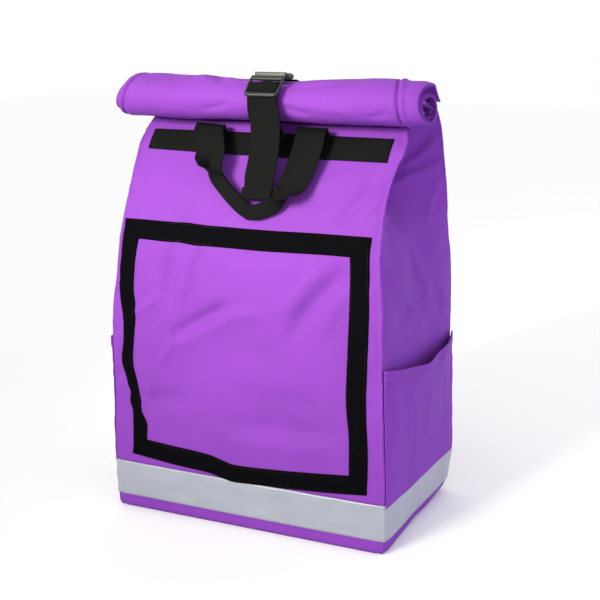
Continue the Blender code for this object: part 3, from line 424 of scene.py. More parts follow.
def coated_cloth(name, colour):
    """Coated cloth: soft clouds of tone on a smooth film over a fine plain weave."""
    made = Finish(name, colour, 0.55, Specular_IOR_Level=0.05)
    places, threads = made.places("Object"), made.places("UV")
    broad = made.noise(places, 9.0, 3.0)
    made.shade(broad, (0.30, 0.95), (0.55, 1.0), (0.75, 1.04))
    made.vary_roughness(broad, 0.50, 0.64)
    made.bump(made.noise(places, 42.0, 3.0, 0.55), 0.35, 0.0011)
    made.bump(made.noise(places, 150.0), 0.25, 0.00030)
    weave = made.maths("MULTIPLY", made.wave(threads, 0.00055, "X"), made.wave(threads, 0.00055, "Y"))
    made.bump(weave, 0.30, 0.00012)
    return made.material


def webbing_finish(name, colour):
    """Ribbed webbing: cross ribs over long lanes, a fine grain, and a painted highlight on the rib tops with
    painted shade between them.
    """
    made = Finish(name, colour, 0.85, Specular_IOR_Level=0.05)
    places = made.places("UV")
    ribs = made.blend(made.wave(places, 0.0013, "Y"), 1.0, made.wave(places, 0.0020, "X", "TRI"), 0.8)
    grain = made.noise(made.places("Object"), 900.0)
    # Tone follows the rib height: painted highlight on the rib tops, painted shade in the grooves; the grain
    # is the webbing's own random tone.
    made.shade(made.blend(ribs, 0.4, grain, 0.35), (0.15, 0.72), (0.55, 1.0), (0.95, 1.45))
    made.bump(ribs, 0.55, 0.00028)
    made.bump(grain, 0.30, 0.00012)
    return made.material


def pile_finish(name, colour):
    """Loop pile: a dense, dull nap of tiny bumps with painted shade in the hollows between them."""
    made = Finish(name, colour, 0.95, Specular_IOR_Level=0.02)
    places = made.places("Object")
    loops = made.node("ShaderNodeTexVoronoi", {"Vector": places, "Scale": 1100.0}).outputs["Distance"]
    nap = made.noise(places, 260.0, 4.0, 0.65)
    # Tone follows the loops' height: painted shade in the hollows, painted highlight on the loop tops; the
    # nap adds random tone.
    made.shade(made.blend(loops, 0.6, nap, 0.5), (0.2, 0.6), (0.6, 1.0), (0.95, 2.0))
    made.bump(loops, 0.7, 0.00045)
    made.bump(nap, 0.5, 0.00060)
    return made.material


def tape_finish(name, colour):
    """Glass-bead tape: silver grey with a fine diamond print and faint creases."""
    made = Finish(name, colour, 0.42, Metallic=0.15, Sheen_Weight=0.15, Specular_IOR_Level=0.5)
    turned = made.places("UV", math.radians(45))
    diamond = made.maths("MAXIMUM", made.wave(turned, 0.0016, "X"), made.wave(turned, 0.0016, "Y"))
    cloud = made.noise(made.places("Object"), 24.0, 4.0, 0.6)
    made.shade(made.blend(diamond, 0.35, cloud, 0.65), (0.25, 0.84), (0.5, 1.0), (0.8, 1.08))
    made.vary_roughness(cloud, 0.34, 0.52)
    made.bump(cloud, 0.35, 0.0012)
    made.bump(diamond, 0.25, 0.00010)
    return made.material


def plastic_finish(name, colour):
    """Moulded plastic with a fine spark grain and a painted highlight on its edges."""
    made = Finish(name, colour, 0.40, Specular_IOR_Level=0.5)
    places = made.places("Object")
    cloud = made.noise(places, 60.0, 3.0)
    edge = made.node("ShaderNodeNewGeometry", {}).outputs["Pointiness"]
    # Painted highlight: the edges' pointiness lightens the colour up to 1.7 times; the cloud is random tone.
    made.shade(made.blend(cloud, 0.4, edge, 0.6), (0.40, 0.8), (0.52, 1.0), (0.62, 1.7))
    made.vary_roughness(cloud, 0.34, 0.48)
    made.bump(made.noise(places, 1500.0), 0.30, 0.00008)
    return made.material


def mesh_padding_finish(name, colour):
    """Spacer mesh: rows of small round holes in a knitted black cloth, with painted shade in the holes and a
    painted highlight on the knit between them.
    """
    made = Finish(name, colour, 0.85, Specular_IOR_Level=0.15)
    places = made.places("UV", math.radians(45))
    holes = made.maths("MULTIPLY", made.wave(places, 0.0026, "X"), made.wave(places, 0.0026, "Y"))
    fuzz = made.noise(made.places("Object"), 700.0)
    # Painted shade: the holes darken to a quarter of the colour, and the raised knit between them is
    # lightened as a painted highlight; the fuzz is random tone.
    made.shade(made.blend(holes, 0.8, fuzz, 0.25), (0.10, 1.5), (0.5, 1.0), (0.85, 0.25))
    made.bump(made.maths("SUBTRACT", 1.0, holes), 0.6, 0.0006)
    made.bump(fuzz, 0.3, 0.00015)
    return made.material


def binding_finish(name, colour):
    """Binding tape: fine ribs across its length, with a painted highlight on the rib tops and painted shade
    between them.
    """
    made = Finish(name, colour, 0.85, Specular_IOR_Level=0.05)
    ribs = made.wave(made.places("Object"), 0.0012, "Z")
    grain = made.noise(made.places("Object"), 900.0)
    # Tone follows the rib height: painted highlight on the rib tops, painted shade in the grooves; the grain
    # is random tone.
    made.shade(made.blend(ribs, 0.5, grain, 0.4), (0.2, 0.7), (0.5, 1.0), (0.9, 1.4))
    made.bump(ribs, 0.5, 0.0002)
    return made.material


def thread_finish(name, colour):
    """Twisted thread: fine speckles of tone and relief."""
    made = Finish(name, colour, 0.6, Specular_IOR_Level=0.2)
    twist = made.noise(made.places("Object"), 1800.0, 1.0)
    made.shade(twist, (0.3, 0.8), (0.7, 1.2))
    made.bump(twist, 0.3, 0.00010)
    return made.material


purple_cloth = coated_cloth("purple_cloth_coated", (0.195, 0.044, 0.362))
black_webbing = webbing_finish("black_webbing_ribbed", (0.0056, 0.0059, 0.0058))
hook_pile = pile_finish("hook_fastener_pile", (0.0024, 0.0022, 0.0031))
silver_tape = tape_finish("reflective_tape_silver", (0.292, 0.310, 0.370))
black_plastic = plastic_finish("black_plastic_moulded", (0.012, 0.0125, 0.012))
black_mesh = mesh_padding_finish("black_padding_mesh", (0.010, 0.010, 0.011))
purple_thread = thread_finish("purple_thread", (0.120, 0.026, 0.250))
black_thread = thread_finish("black_thread", (0.006, 0.006, 0.0065))
grey_thread = thread_finish("grey_thread", (0.24, 0.25, 0.29))
black_binding = binding_finish("black_binding", (0.0085, 0.0088, 0.0090))

# ---- the bag's cloth ------------------------------------------------------------------------------

SCALES = np.array([DEPTH / 2, MOUTH_HEIGHT] * 2 + [WIDTH / 2] * 3 + [DEPTH, DEPTH, 1.0])
SIZED = np.array(SECTIONS) * SCALES
PROFILE = spans(np.vstack([SIZED[:1], SIZED, SIZED[-1:]]), 24)


def at_height(column, z):
    """One column of the bag's sections at a height of the front."""
    return np.interp(z, PROFILE[:, FRONT_Z], PROFILE[:, column])


def centred(x, left, right):
    """Place between two edges: -1 at the left one and 1 at the right one."""
    return np.clip((x - (left + right) / 2) / ((right - left) / 2), -1, 1)


def front_relief(x, z):
    """How far the front's cloth stands out at (x, z): hollows, folds, puckers by the seams, soft waves."""
    left, right = at_height(LEFT_X, z), at_height(RIGHT_X, z)
    share = centred(x, left, right)
    ease = np.sqrt(1 - share**2)
    soft = smooth_step(z, 0.066, 0.110)
    waves = 0.0009 * lattice_noise(x, z, 0.055, 3) + 0.00035 * lattice_noise(x, z, 0.021, 4)
    relief = -hollows(FRONT_HOLLOWS, share, z / MOUTH_HEIGHT) * ease
    relief += fold_height(x, z, FRONT_FOLDS)
    relief += soft * waves * ease
    edge = np.minimum(right - x, x - left)
    puckers = soft * 0.0021 * lattice_noise(x / 3.0, z, 0.0165, 5)
    relief += puckers * smooth_step(edge, 0.002, 0.009) * (1 - smooth_step(edge, 0.012, 0.034))
    return relief


def front_y(x, z):
    """The front's surface as a height field over (x, z)."""
    ease = 1 - centred(x, at_height(LEFT_X, z), at_height(RIGHT_X, z)) ** 2
    return at_height(FRONT_Y, z) - at_height(BELLY, z) * ease - front_relief(x, z)


def front_point(x, z):
    """Points of the front's surface."""
    x, z = np.broadcast_arrays(np.asarray(x, float), np.asarray(z, float))
    return np.stack([x, front_y(x, z), z], -1)


def front_normal(x, z, step=0.003):
    """The front's outward direction, from its slopes over two short steps."""
    run = front_point(x + step, z) - front_point(x - step, z)
    rise = front_point(x, z + step) - front_point(x, z - step)
    return unit(np.cross(run, rise))


def corner_arcs(before, corner, after, radius, faces):
    """An arc tucked into each ring's corner: a rational curve between points on the two sides."""
    back, on = before - corner, after - corner
    back_length = np.linalg.norm(back, axis=1, keepdims=True)
    on_length = np.linalg.norm(on, axis=1, keepdims=True)
    back, on = back / back_length, on / on_length
    turn = math.pi - np.arccos(np.clip((back * on).sum(1, keepdims=True), -1, 1))
    reach = np.maximum(radius * np.tan(turn / 2), radius * 0.6)
    reach = np.minimum(reach, np.minimum(0.4 * back_length, 0.4 * on_length))
    weight = np.maximum(np.cos(turn / 2), 0.12)[:, None]
    t = np.linspace(0, 1, faces + 1)[None, :, None]
    start, end = (corner + back * reach)[:, None], (corner + on * reach)[:, None]
    top = (1 - t) ** 2 * start + 2 * weight * t * (1 - t) * corner[:, None] + t**2 * end
    return top / ((1 - t) ** 2 + 2 * weight * t * (1 - t) + t**2)


ROW_COUNT = 178
FRONT_STEPS, SIDE_STEPS, BACK_STEPS = 112, 26, 84
SEAM_STEPS, TIP_STEPS = 16, 14


def ring_rows():
    """Rows of section values, evenly spaced up the bag's front."""
    length = run_length(PROFILE[:, [FRONT_Y, FRONT_Z]])
    return resample(PROFILE, ROW_COUNT, length)


def outline_grid(rows):
    """Every ring of the bag as points: front, right, back, left, with the slices of each panel.

    A ring is a six-cornered outline in (x, way back); its side corners move inwards as the pleat
    takes up the side panel's spare cloth."""
    front, back = rows[:, [FRONT_Y, FRONT_Z]], rows[:, [BACK_Y, BACK_Z]]
    span = np.linalg.norm(back - front, axis=1)
    fold = np.sqrt(np.maximum((SIDE_CLOTH / 2) ** 2 - (span / 2) ** 2, 0)) * rows[:, PLEAT]
    left, right, back_right = rows[:, LEFT_X], rows[:, RIGHT_X], rows[:, BACK_RIGHT_X]
    radius = rows[:, RADIUS, None]
    zero = np.zeros_like(span)
    corners = np.stack(
        [
            np.stack([left, zero], 1),
            np.stack([right, zero], 1),
            np.stack([(right + back_right) / 2 - fold, span / 2], 1),
            np.stack([back_right, span], 1),
            np.stack([left, span], 1),
            np.stack([left + fold, span / 2], 1),
        ],
        1,
    )
    steps = (SEAM_STEPS, SEAM_STEPS, TIP_STEPS, SEAM_STEPS, SEAM_STEPS, TIP_STEPS)
    arcs = [
        corner_arcs(corners[:, i - 1], corners[:, i], corners[:, (i + 1) % 6], radius, steps[i])
        for i in range(6)
    ]
    counts = (FRONT_STEPS, SIDE_STEPS, SIDE_STEPS, BACK_STEPS, SIDE_STEPS, SIDE_STEPS)
    pieces = []
    marks = {}
    total = 0
    for i in range(6):
        marks["arc", i] = total
        pieces.append(arcs[i])
        total += arcs[i].shape[1]
        following = arcs[(i + 1) % 6]
        t = (np.arange(1, counts[i]) / counts[i])[None, :, None]
        pieces.append(arcs[i][:, -1:] * (1 - t) + following[:, :1] * t)
        total += counts[i] - 1
    flat = np.concatenate(pieces, 1)
    along = (flat[..., 1] / span[:, None])[..., None]
    points = np.concatenate([flat[..., :1], front[:, None] * (1 - along) + back[:, None] * along], -1)
    half = SEAM_STEPS // 2
    seams = [marks["arc", 0] + half, marks["arc", 1] + half, marks["arc", 3] + half, marks["arc", 4] + half]
    return points, along[..., 0], seams


def seam_lip(distance):
    """Section across a sewn edge: a narrow raised lip with a shallow groove beside it, in metres."""
    lip = 0.0013 * np.exp(-((distance / 0.0018) ** 2))
    groove = 0.0009 * np.exp(-(((distance - 0.0052) / 0.0022) ** 2))
    return lip - groove


def edge_distance(points):
    """Each point's distance to the nearer side edge of its panel, and to the first one, along the row."""
    steps = np.linalg.norm(np.diff(points, axis=1), axis=-1)
    run = np.concatenate([np.zeros((len(points), 1)), np.cumsum(steps, axis=1)], 1)
    return np.minimum(run, run[:, -1:] - run), run


def make_bag():
    """The bag: four sewn panels and a base, each a grid over its share of the rings."""
    rows = ring_rows()
    points, along, seams = outline_grid(rows)
    count = points.shape[1]
    columns_of = {
        "front": np.arange(seams[0], seams[1] + 1),
        "right": np.arange(seams[1], seams[2] + 1),
        "back": np.arange(seams[2], seams[3] + 1),
        "left": np.arange(seams[3], seams[0] + count + 1) % count,
    }
    left, right, back_right, belly, pleat = (
        rows[:, k, None] for k in (LEFT_X, RIGHT_X, BACK_RIGHT_X, BELLY, PLEAT)
    )
    shaped = points.copy()
    # The front moves straight forward, so that strips can be read from the same height field.
    columns = columns_of["front"]
    x, z = points[:, columns, 0], points[:, columns, 2]
    flat = 1 - smooth_step(along[:, columns], 0.010, 0.035)
    shaped[:, columns, 1] -= (belly * (1 - centred(x, left, right) ** 2) + front_relief(x, z)) * flat
    # The other panels move along their own normals.
    span = (rows[:, BACK_Y] - rows[:, FRONT_Y])[:, None] / 2
    middle = (rows[:, BACK_Y] + rows[:, FRONT_Y])[:, None] / 2
    slack = 1 - pleat * 0.35
    for name, folds, seed in (("right", SIDE_FOLDS, 11), ("left", LEFT_FOLDS, 17), ("back", BACK_FOLDS, 21)):
        part = points[:, columns_of[name]]
        x, y, z = part[..., 0], part[..., 1], part[..., 2]
        if name == "back":
            soft = smooth_step(z, 0.07, 0.12)
            relief = belly * 0.5 * (1 - centred(x, left, back_right) ** 2)
            relief += fold_height(x, z, folds) * soft
            relief += 0.0010 * lattice_noise(x, z, 0.06, seed) * soft
        else:
            share = (y - middle) / span
            sag = hollows(SIDE_HOLLOWS, share, z / MOUTH_HEIGHT) * (1 - pleat)
            relief = fold_height(y, z, folds) * slack - sag * np.clip(1 - share**2, 0, 1)
            relief += 0.0012 * lattice_noise(y, z, 0.05, seed) * slack
            relief += 0.0004 * lattice_noise(y, z, 0.02, seed + 1) * slack
        inner = smooth_step(edge_distance(part)[0], 0.004, 0.022)
        shaped[:, columns_of[name]] = part + grid_normals(part) * (relief * inner)[..., None]
    # Seams last, on every panel alike, so that neighbours meet.
    lipped = shaped.copy()
    ring_normal = grid_normals(np.concatenate([shaped[:, -1:], shaped, shaped[:, :1]], 1))[:, 1:-1]
    for columns in columns_of.values():
        part = shaped[:, columns]
        edge, run = edge_distance(part)
        soft = smooth_step(part[..., 2], 0.060, 0.085)
        pucker = lattice_noise(run * 0.4, part[..., 2], 0.009, 31) * np.exp(-((edge / 0.010) ** 2)) * 0.0005
        height = seam_lip(edge) + pucker * soft
        lipped[:, columns] = part + ring_normal[:, columns] * height[..., None]
    for name, columns in columns_of.items():
        obj = grid_mesh("bag_" + name + "_panel", lipped[:, columns])
        wall(obj, PANEL_CLOTH, -1)
        place(obj, purple_cloth, "purple_cloth", ("bag_shell",) if name == "front" else ())
    # The base: rings that shrink to the middle, with a turned-up hem.
    shares = np.array([1.0, 0.992, 0.97, 0.9, 0.75, 0.55, 0.35, 0.15, 0.02])
    disc = lipped[0][None] * shares[:, None, None]
    disc[..., 2] = np.array([0.0010, 0.0, 0.0, 0.0004, 0.0012, 0.0014, 0.0014, 0.0014, 0.0014])[:, None]
    base = grid_mesh("bag_base_panel", disc[::-1], wrap=True)
    place(wall(base, HEM_CLOTH, -1), purple_cloth, "purple_cloth")
    return lipped, columns_of


bag_points, bag_columns = make_bag()


def between_rows(read, level):
    """What read(row) gives at levels that lie between two rows of the bag."""
    low = np.floor(level).astype(int)
    share = (level - low)[..., None]
    return read(low) * (1 - share) + read(np.minimum(low + 1, ROW_COUNT - 1)) * share


# ---- strips, band and tape on the cloth -------------------------------------------------------------


def sewn_strip(name, outer, inner, thickness, finish, slot, node, across, step, stand, nap=0.0):
    """A strip sewn on the front between two edge lines of (x, z): a low flat section with rounded
    edges carried between them, standing on the front's height field."""
    outer, inner = spline(outer, 12), spline(inner, 12)
    count = int(max(run_length(outer)[-1], run_length(inner)[-1]) / step)
    outer, inner = resample(outer, count), resample(inner, count)
    w = np.linspace(-1, 1, across)
    w = np.sign(w) * np.abs(w) ** 0.6
    t = (w + 1)[None, :, None] / 2
    flat = outer[:, None] * (1 - t) + inner[:, None] * t
    x, z = flat[..., 0], flat[..., 1]
    ends = np.minimum(np.arange(count), np.arange(count)[::-1])[:, None]
    round_edge = np.sqrt(np.clip(1 - np.abs(w)[None] ** 14, 0, 1)) * np.where(ends > 0, 1.0, 0.8)
    height = stand + thickness * (0.15 + 0.85 * round_edge)
    if nap:
        height = height + nap * lattice_noise(x, z, 0.0016, 41) * round_edge
    points = front_point(x, z) + front_normal(x, z) * height[..., None]
    if np.cross(flat[1, 0] - flat[0, 0], flat[0, -1] - flat[0, 0]) <= 0:
        points = points[:, ::-1]
    obj = grid_mesh(name, points.transpose(1, 0, 2))
    wall(obj, thickness + stand + 0.0004, -1)
    return place(obj, finish, slot, (node,))


# The fastener frame's edges as sewn, in mm, with the waves of the cloth beneath
FRAME_EDGES = {
    "fastener_left": (
        [(-171, 82), (-167.5, 102), (-165, 144), (-168.5, 160),
         (-166.5, 174), (-170, 186), (-177, 218), (-172, 250),
         (-171, 282), (-175.5, 316), (-174, 340), (-172, 372), (-171.5, 411)],
        [(-145, 107), (-143.6, 131), (-151, 148), (-151.5, 164),
         (-155, 192), (-159, 220), (-154.3, 256), (-150, 288),
         (-153.3, 318), (-150.6, 356), (-146, 387)],
    ),
    "fastener_right": (
        [(176, 80), (178, 143), (176, 210), (178.5, 275), (179, 337), (176, 411)],
        [(152, 104), (153, 156), (150, 206), (152, 271), (154, 335), (152, 387)],
    ),
    "fastener_bottom": (
        [(-171, 82), (-105, 76), (-50, 73), (-24, 67), (-10, 65.5), (47, 69), (118, 74), (176, 80)],
        [(-145, 107), (-102, 104), (-52, 101), (-26, 95), (-8, 92), (48, 95), (101, 99), (152, 104)],
    ),
    "fastener_top": (
        [(-171.5, 411), (-80, 411), (20, 410), (100, 411), (176, 411)],
        [(-146, 387), (-74, 386), (16, 385), (68, 386), (118, 387), (152, 387)],
    ),
}


def stitch_row(name, points, normals, pitch, length, radius, finish, slot):
    """Running stitches: each a little closed grain, long along the line, lying on the cloth."""
    count = max(2, int(run_length(points)[-1] / pitch))
    table = resample(np.hstack([points, normals]), count)
    centre, normal = table[:, :3], unit(table[:, 3:])
    tangent = unit(np.gradient(centre, axis=0))
    across = np.cross(normal, tangent)
    steps = np.array([-1.0, -0.8, 0.0, 0.8, 1.0])
    swell = np.array([0.0, 0.65, 1.0, 0.65, 0.0])
    turn = np.linspace(0, 2 * math.pi, 6, endpoint=False)
    ring = centre[:, None, None] + tangent[:, None, None] * (steps * length / 2)[None, :, None, None]
    ring = ring + across[:, None, None] * (np.outer(swell, np.cos(turn)) * radius)[None, ..., None]
    ring = ring + normal[:, None, None] * (np.outer(swell, np.sin(turn)) * radius)[None, ..., None]
    quads = grid_quads(len(steps), len(turn), True)[:, [0, 3, 2, 1]]
    faces = quads[None] + (np.arange(count) * len(steps) * len(turn))[:, None, None]
    return place(add_mesh(name, ring, faces.reshape(-1, 4).tolist()), finish, slot)


def stitch_on_front(name, line, stand):
    """Stitches along a line of (x, z) in mm on the front."""
    line = spline(np.array(line) * MM, 12)
    line = resample(line, max(8, int(run_length(line)[-1] / 0.003)))
    normals = front_normal(line[:, 0], line[:, 1])
    points = front_point(line[:, 0], line[:, 1]) + normals * stand
    stitch_row(name, points, normals, 0.0032, 0.0032 * 0.72, 0.00032, black_thread, "hook_fastener")


def inset(outer, inner, share):
    """A line between two edges, resampled to match them."""
    a = resample(spline(np.array(outer, float), 12), 60)
    b = resample(spline(np.array(inner, float), 12), 60)
    return a * (1 - share) + b * share


for node, (outer, inner) in FRAME_EDGES.items():
    edges = np.array(outer) * MM, np.array(inner) * MM
    side = node.removeprefix("fastener_")
    sewn_strip(
        "strip_" + side, *edges, STRIP_THICK, hook_pile, "hook_fastener", node,
        11, 0.0026, STRIP_STAND, 0.00022,
    )
    for edge, share in (("outer", 0.09), ("inner", 0.91)):
        stitch_on_front(f"stitches_{side}_{edge}", inset(outer, inner, share)[2:-2], 0.0021)

BAND_FOOT = 0.850 * MOUTH_HEIGHT


def height_up(distance, foot):
    """The height reached by going that far up the front's cloth from a foot height."""
    heights = np.linspace(foot, 0.537, 300)
    line = np.column_stack([at_height(FRONT_Y, heights), heights])
    return float(np.interp(distance, run_length(line), heights))


BAND_HEAD = height_up(BAND_WIDTH, BAND_FOOT)
foot = [(-0.1625, BAND_FOOT + 0.003), (-0.06, BAND_FOOT + 0.001), (0.05, BAND_FOOT), (0.1770, BAND_FOOT)]
head = [(-0.1610, BAND_HEAD), (-0.06, BAND_HEAD), (0.05, BAND_HEAD), (0.1790, BAND_HEAD - 0.0005)]
sewn_strip(
    "webbing_band", foot, head, WEBBING_THICK, black_webbing, "black_webbing", "top_band",
    13, 0.003, BAND_STAND,
)


def make_tape():
    """Reflective tape round the foot: the outline of the rings at its heights, grown outwards, with
    crumples and a few creases."""
    heights = np.linspace(TAPE_FOOT, TAPE_FOOT + TAPE_WIDTH, 15)
    c = np.arange(bag_points.shape[1])
    level = np.stack([np.interp(heights, bag_points[:, k, 2], np.arange(ROW_COUNT)) for k in c], 1)
    ring = between_rows(lambda row: bag_points[row, c[None]], level)
    normal = grid_normals(np.concatenate([ring[:, -1:], ring, ring[:, :1]], 1))[:, 1:-1]
    around = run_length(ring[7])[None]
    x, z = ring[..., 0], ring[..., 2]
    crumple = 0.0010 * lattice_noise(around * 0.6, z, 0.012, 51)
    crumple = crumple + 0.0008 * lattice_noise(around, z * 1.4, 0.030, 52)
    folds = [([(-100, 42), (-79, 31), (-62, 20)], 3, -1.0, 0.5), ([(-10, 62), (10, 52)], 5, 0.9, 0)]
    crease = fold_height(x, z, folds) * (ring[..., 1] < -0.1)
    edge = np.minimum(heights - heights[0], heights[-1] - heights)[:, None]
    height = TAPE_STAND + (np.maximum(crumple, -0.0006) + crease) * smooth_step(edge, 0.0, 0.006)
    tape = ring + normal * height[..., None]
    uv = np.stack(np.broadcast_arrays(around, heights[:, None]), -1)
    obj = grid_mesh("tape_round_foot", tape, uv, wrap=True)
    wall(obj, TAPE_THICK, 1)
    place(obj, silver_tape, "reflective_tape", ("reflective_band",))
    for name, row in (("foot", 1), ("head", 13)):
        loop = np.concatenate([tape[row], tape[row, :1]])
        normals = np.concatenate([normal[row], normal[row, :1]])
        loop = loop + normals * TAPE_THICK
        row = "stitches_tape_" + name
        stitch_row(row, loop, normals, 0.0034, 0.0025, 0.00030, grey_thread, "reflective_tape")


make_tape()

# ---- side pockets ----------------------------------------------------------------------------------

POCKET_HEIGHT, POCKET_SLACK = 0.175, 0.0155
# Folds of the pockets in mm, as (y, z)
POCKET_FOLDS = [
    ([(-47, 200), (-47, 191), (-38, 144), (-29, 76)], 4, 1.3, 0.3),
    ([(-120, 232), (-100, 190), (-96, 140)], 8, 1.4, 0.0),
    ([(60, 214), (66, 170), (80, 110)], 9, -1.6, 0.0),
    ([(-10, 222), (8, 170), (0, 120)], 12, 1.6, 0.0),
    ([(-100, 120), (-40, 104), (40, 112)], 12, -1.2, 0.0),
]


def make_pocket(name, side, node):
    """A sheet over a side panel: its foot and sides follow the panel, its mouth stands off in a slack
    arch and is hemmed. Stand-off = slack x sin(pi t)^0.8 x share^1.1, plus soft folds and a ripple."""
    part = bag_points[:, bag_columns[side]]
    _, run = edge_distance(part)
    foot = TAPE_FOOT + TAPE_WIDTH - 0.004
    count, across = 64, 76
    t = np.linspace(0.004, 0.996, across)
    from_front = t if side == "right" else 1 - t
    mouth = 0.2490 - 0.011 * from_front - 0.012 * np.sin(math.pi * from_front)
    share = np.linspace(0, 1, count)[:, None]
    z = foot + (mouth[None] - foot) * share
    total = run[:, -1]

    def read(row):
        """The panel's points a share t of the way along these rows."""
        target = t[None] * total[row]
        column = np.clip((run[row] <= target[..., None]).sum(-1) - 1, 0, part.shape[1] - 2)
        step = np.maximum(run[row, column + 1] - run[row, column], 1e-9)
        along = ((target - run[row, column]) / step)[..., None]
        return part[row, column] * (1 - along) + part[row, column + 1] * along

    base = between_rows(read, np.interp(z, part[:, part.shape[1] // 2, 2], np.arange(ROW_COUNT)))
    normal = grid_normals(base)
    y = base[..., 1]
    folds, seed = POCKET_FOLDS, 62
    if side == "left":
        folds = [([(a + 12, b - 4) for a, b in line], w, h, l) for line, w, h, l in folds]
        seed = 60
    relief = fold_height(y, z, folds) + 0.0008 * lattice_noise(y, z, 0.035, seed)
    ripple = 0.0022 * np.sin(t * 17 + 0.6)[None] * smooth_step(share, 0.75, 1.0) * np.sin(math.pi * t)[None]
    stand = 0.0011 + POCKET_SLACK * np.sin(math.pi * t)[None] ** 0.8 * share**1.1
    relief = relief * smooth_step(share, 0.05, 0.3) * smooth_step(np.minimum(t, 1 - t), 0.02, 0.10)[None]
    stand = stand + relief
    sheet_points = base + normal * np.maximum(stand + ripple, 0.0006)[..., None]
    obj = grid_mesh(name, sheet_points)
    wall(obj, POCKET_CLOTH, 1)
    place(obj, purple_cloth, "purple_cloth", (node,))
    # Hem: a second layer over the top 14 mm, with its own stitches.
    first = int(count * 0.915)
    hem_points = sheet_points[first:] + normal[first:] * 0.0014
    roll_over = np.linspace(0, 1, hem_points.shape[0])[:, None, None] ** 3
    hem_points = hem_points + np.array([0, 0, 0.0010]) * roll_over
    hem = grid_mesh(name + "_hem", hem_points)
    wall(hem, HEM_CLOTH, 1)
    place(hem, purple_cloth, "purple_cloth")
    line, normals = (hem_points[2] + normal[first + 2] * 0.0011)[2:-2], normal[first + 2][2:-2]
    stitch_row(name + "_hem_stitches", line, normals, 0.0032, 0.0023, 0.00030, purple_thread, "purple_cloth")


for side in ("right", "left"):
    make_pocket("pocket_" + side, side, "side_pocket_" + side)

# ---- the rolled top ----------------------------------------------------------------------------------

# The roll along its length: place, depth, height, lift, slant, as shares
ROLL_STATIONS = np.array([
    (-1.00, 0.93, 0.90, 0.03, 0.28),
    (-0.96, 0.99, 0.98, 0.03, 0.16),
    (-0.90, 1.00, 1.00, 0.03, 0.06),
    (-0.66, 1.02, 1.02, 0.02, 0.00),
    (-0.34, 0.98, 0.97, 0.00, 0.00),
    (-0.14, 0.95, 0.94, -0.02, 0.00),
    (0.12, 0.93, 0.92, -0.03, 0.00),
    (0.36, 0.97, 0.97, -0.02, 0.00),
    (0.62, 1.01, 1.00, 0.00, 0.00),
    (0.84, 1.00, 1.00, 0.01, -0.03),
    (0.94, 1.00, 1.00, 0.01, -0.06),
    (1.00, 0.95, 0.94, 0.01, -0.10),
])

# Folds on the roll's outer turn: lines of (mm across, degrees), 0 degrees in front and 90 on top
ROLL_FOLDS = [
    ([(-66, 128), (-64, 108), (-58, 84), (-50, 62), (-40, 44)], 7, -2.6, 0.0),
    ([(-84, 120), (-82, 84), (-70, 50)], 9, 1.4, 0.0),
    ([(-46, 112), (-40, 84), (-28, 60)], 8, 1.4, 0.0),
    ([(-30, 70), (-14, 60), (0, 66)], 6, -1.4, 0.0),
    ([(44, 58), (70, 48), (104, 62), (130, 72)], 6, -1.7, 0.6),
    ([(44, 84), (74, 70), (120, 78)], 7, 1.4, 0.0),
    ([(42, -2), (58, -16), (82, -26)], 8, -2.4, 0.0),
    ([(60, 8), (96, -8), (150, -14)], 9, 1.2, 0.0),
    ([(150, -28), (170, -20), (184, -6)], 7, -2.0, 0.0),
    ([(-30, 6), (-46, -10), (-80, -22)], 8, -1.9, 0.0),
    ([(-20, 26), (-60, 14), (-120, 8)], 12, 0.9, 0.0),
    ([(-176, 70), (-150, 60), (-110, 66)], 9, -0.9, 0.0),
    ([(-180, 30), (-168, 40), (-150, 46)], 8, 0.9, 0.0),
]


def roll_line(angle, depth, height, lift, shrink):
    """The spiral in (y, z): the tail that laps over the back of the bag's mouth, then turns that close
    inwards."""
    turns = angle / (2 * math.pi)
    tail = np.exp(-((turns / 0.075) ** 1.5))
    share = 1.0 + 1.06 * tail
    inward = ROLL_PITCH * np.maximum(turns - 0.08, 0) + shrink
    half_depth = (ROLL_DEPTH / 2 * depth - ROLL_LAYER / 2) * share - inward
    half_height = (ROLL_HEIGHT / 2 * height - ROLL_LAYER / 2) * np.minimum(share, 1.1) - inward
    start = math.radians(16)
    y = ROLL_CENTRE_Y + half_depth * np.cos(start + angle)
    z = ROLL_CENTRE_Z + lift * ROLL_HEIGHT + half_height * np.sin(start + angle) + 0.0072 * tail
    return y, z


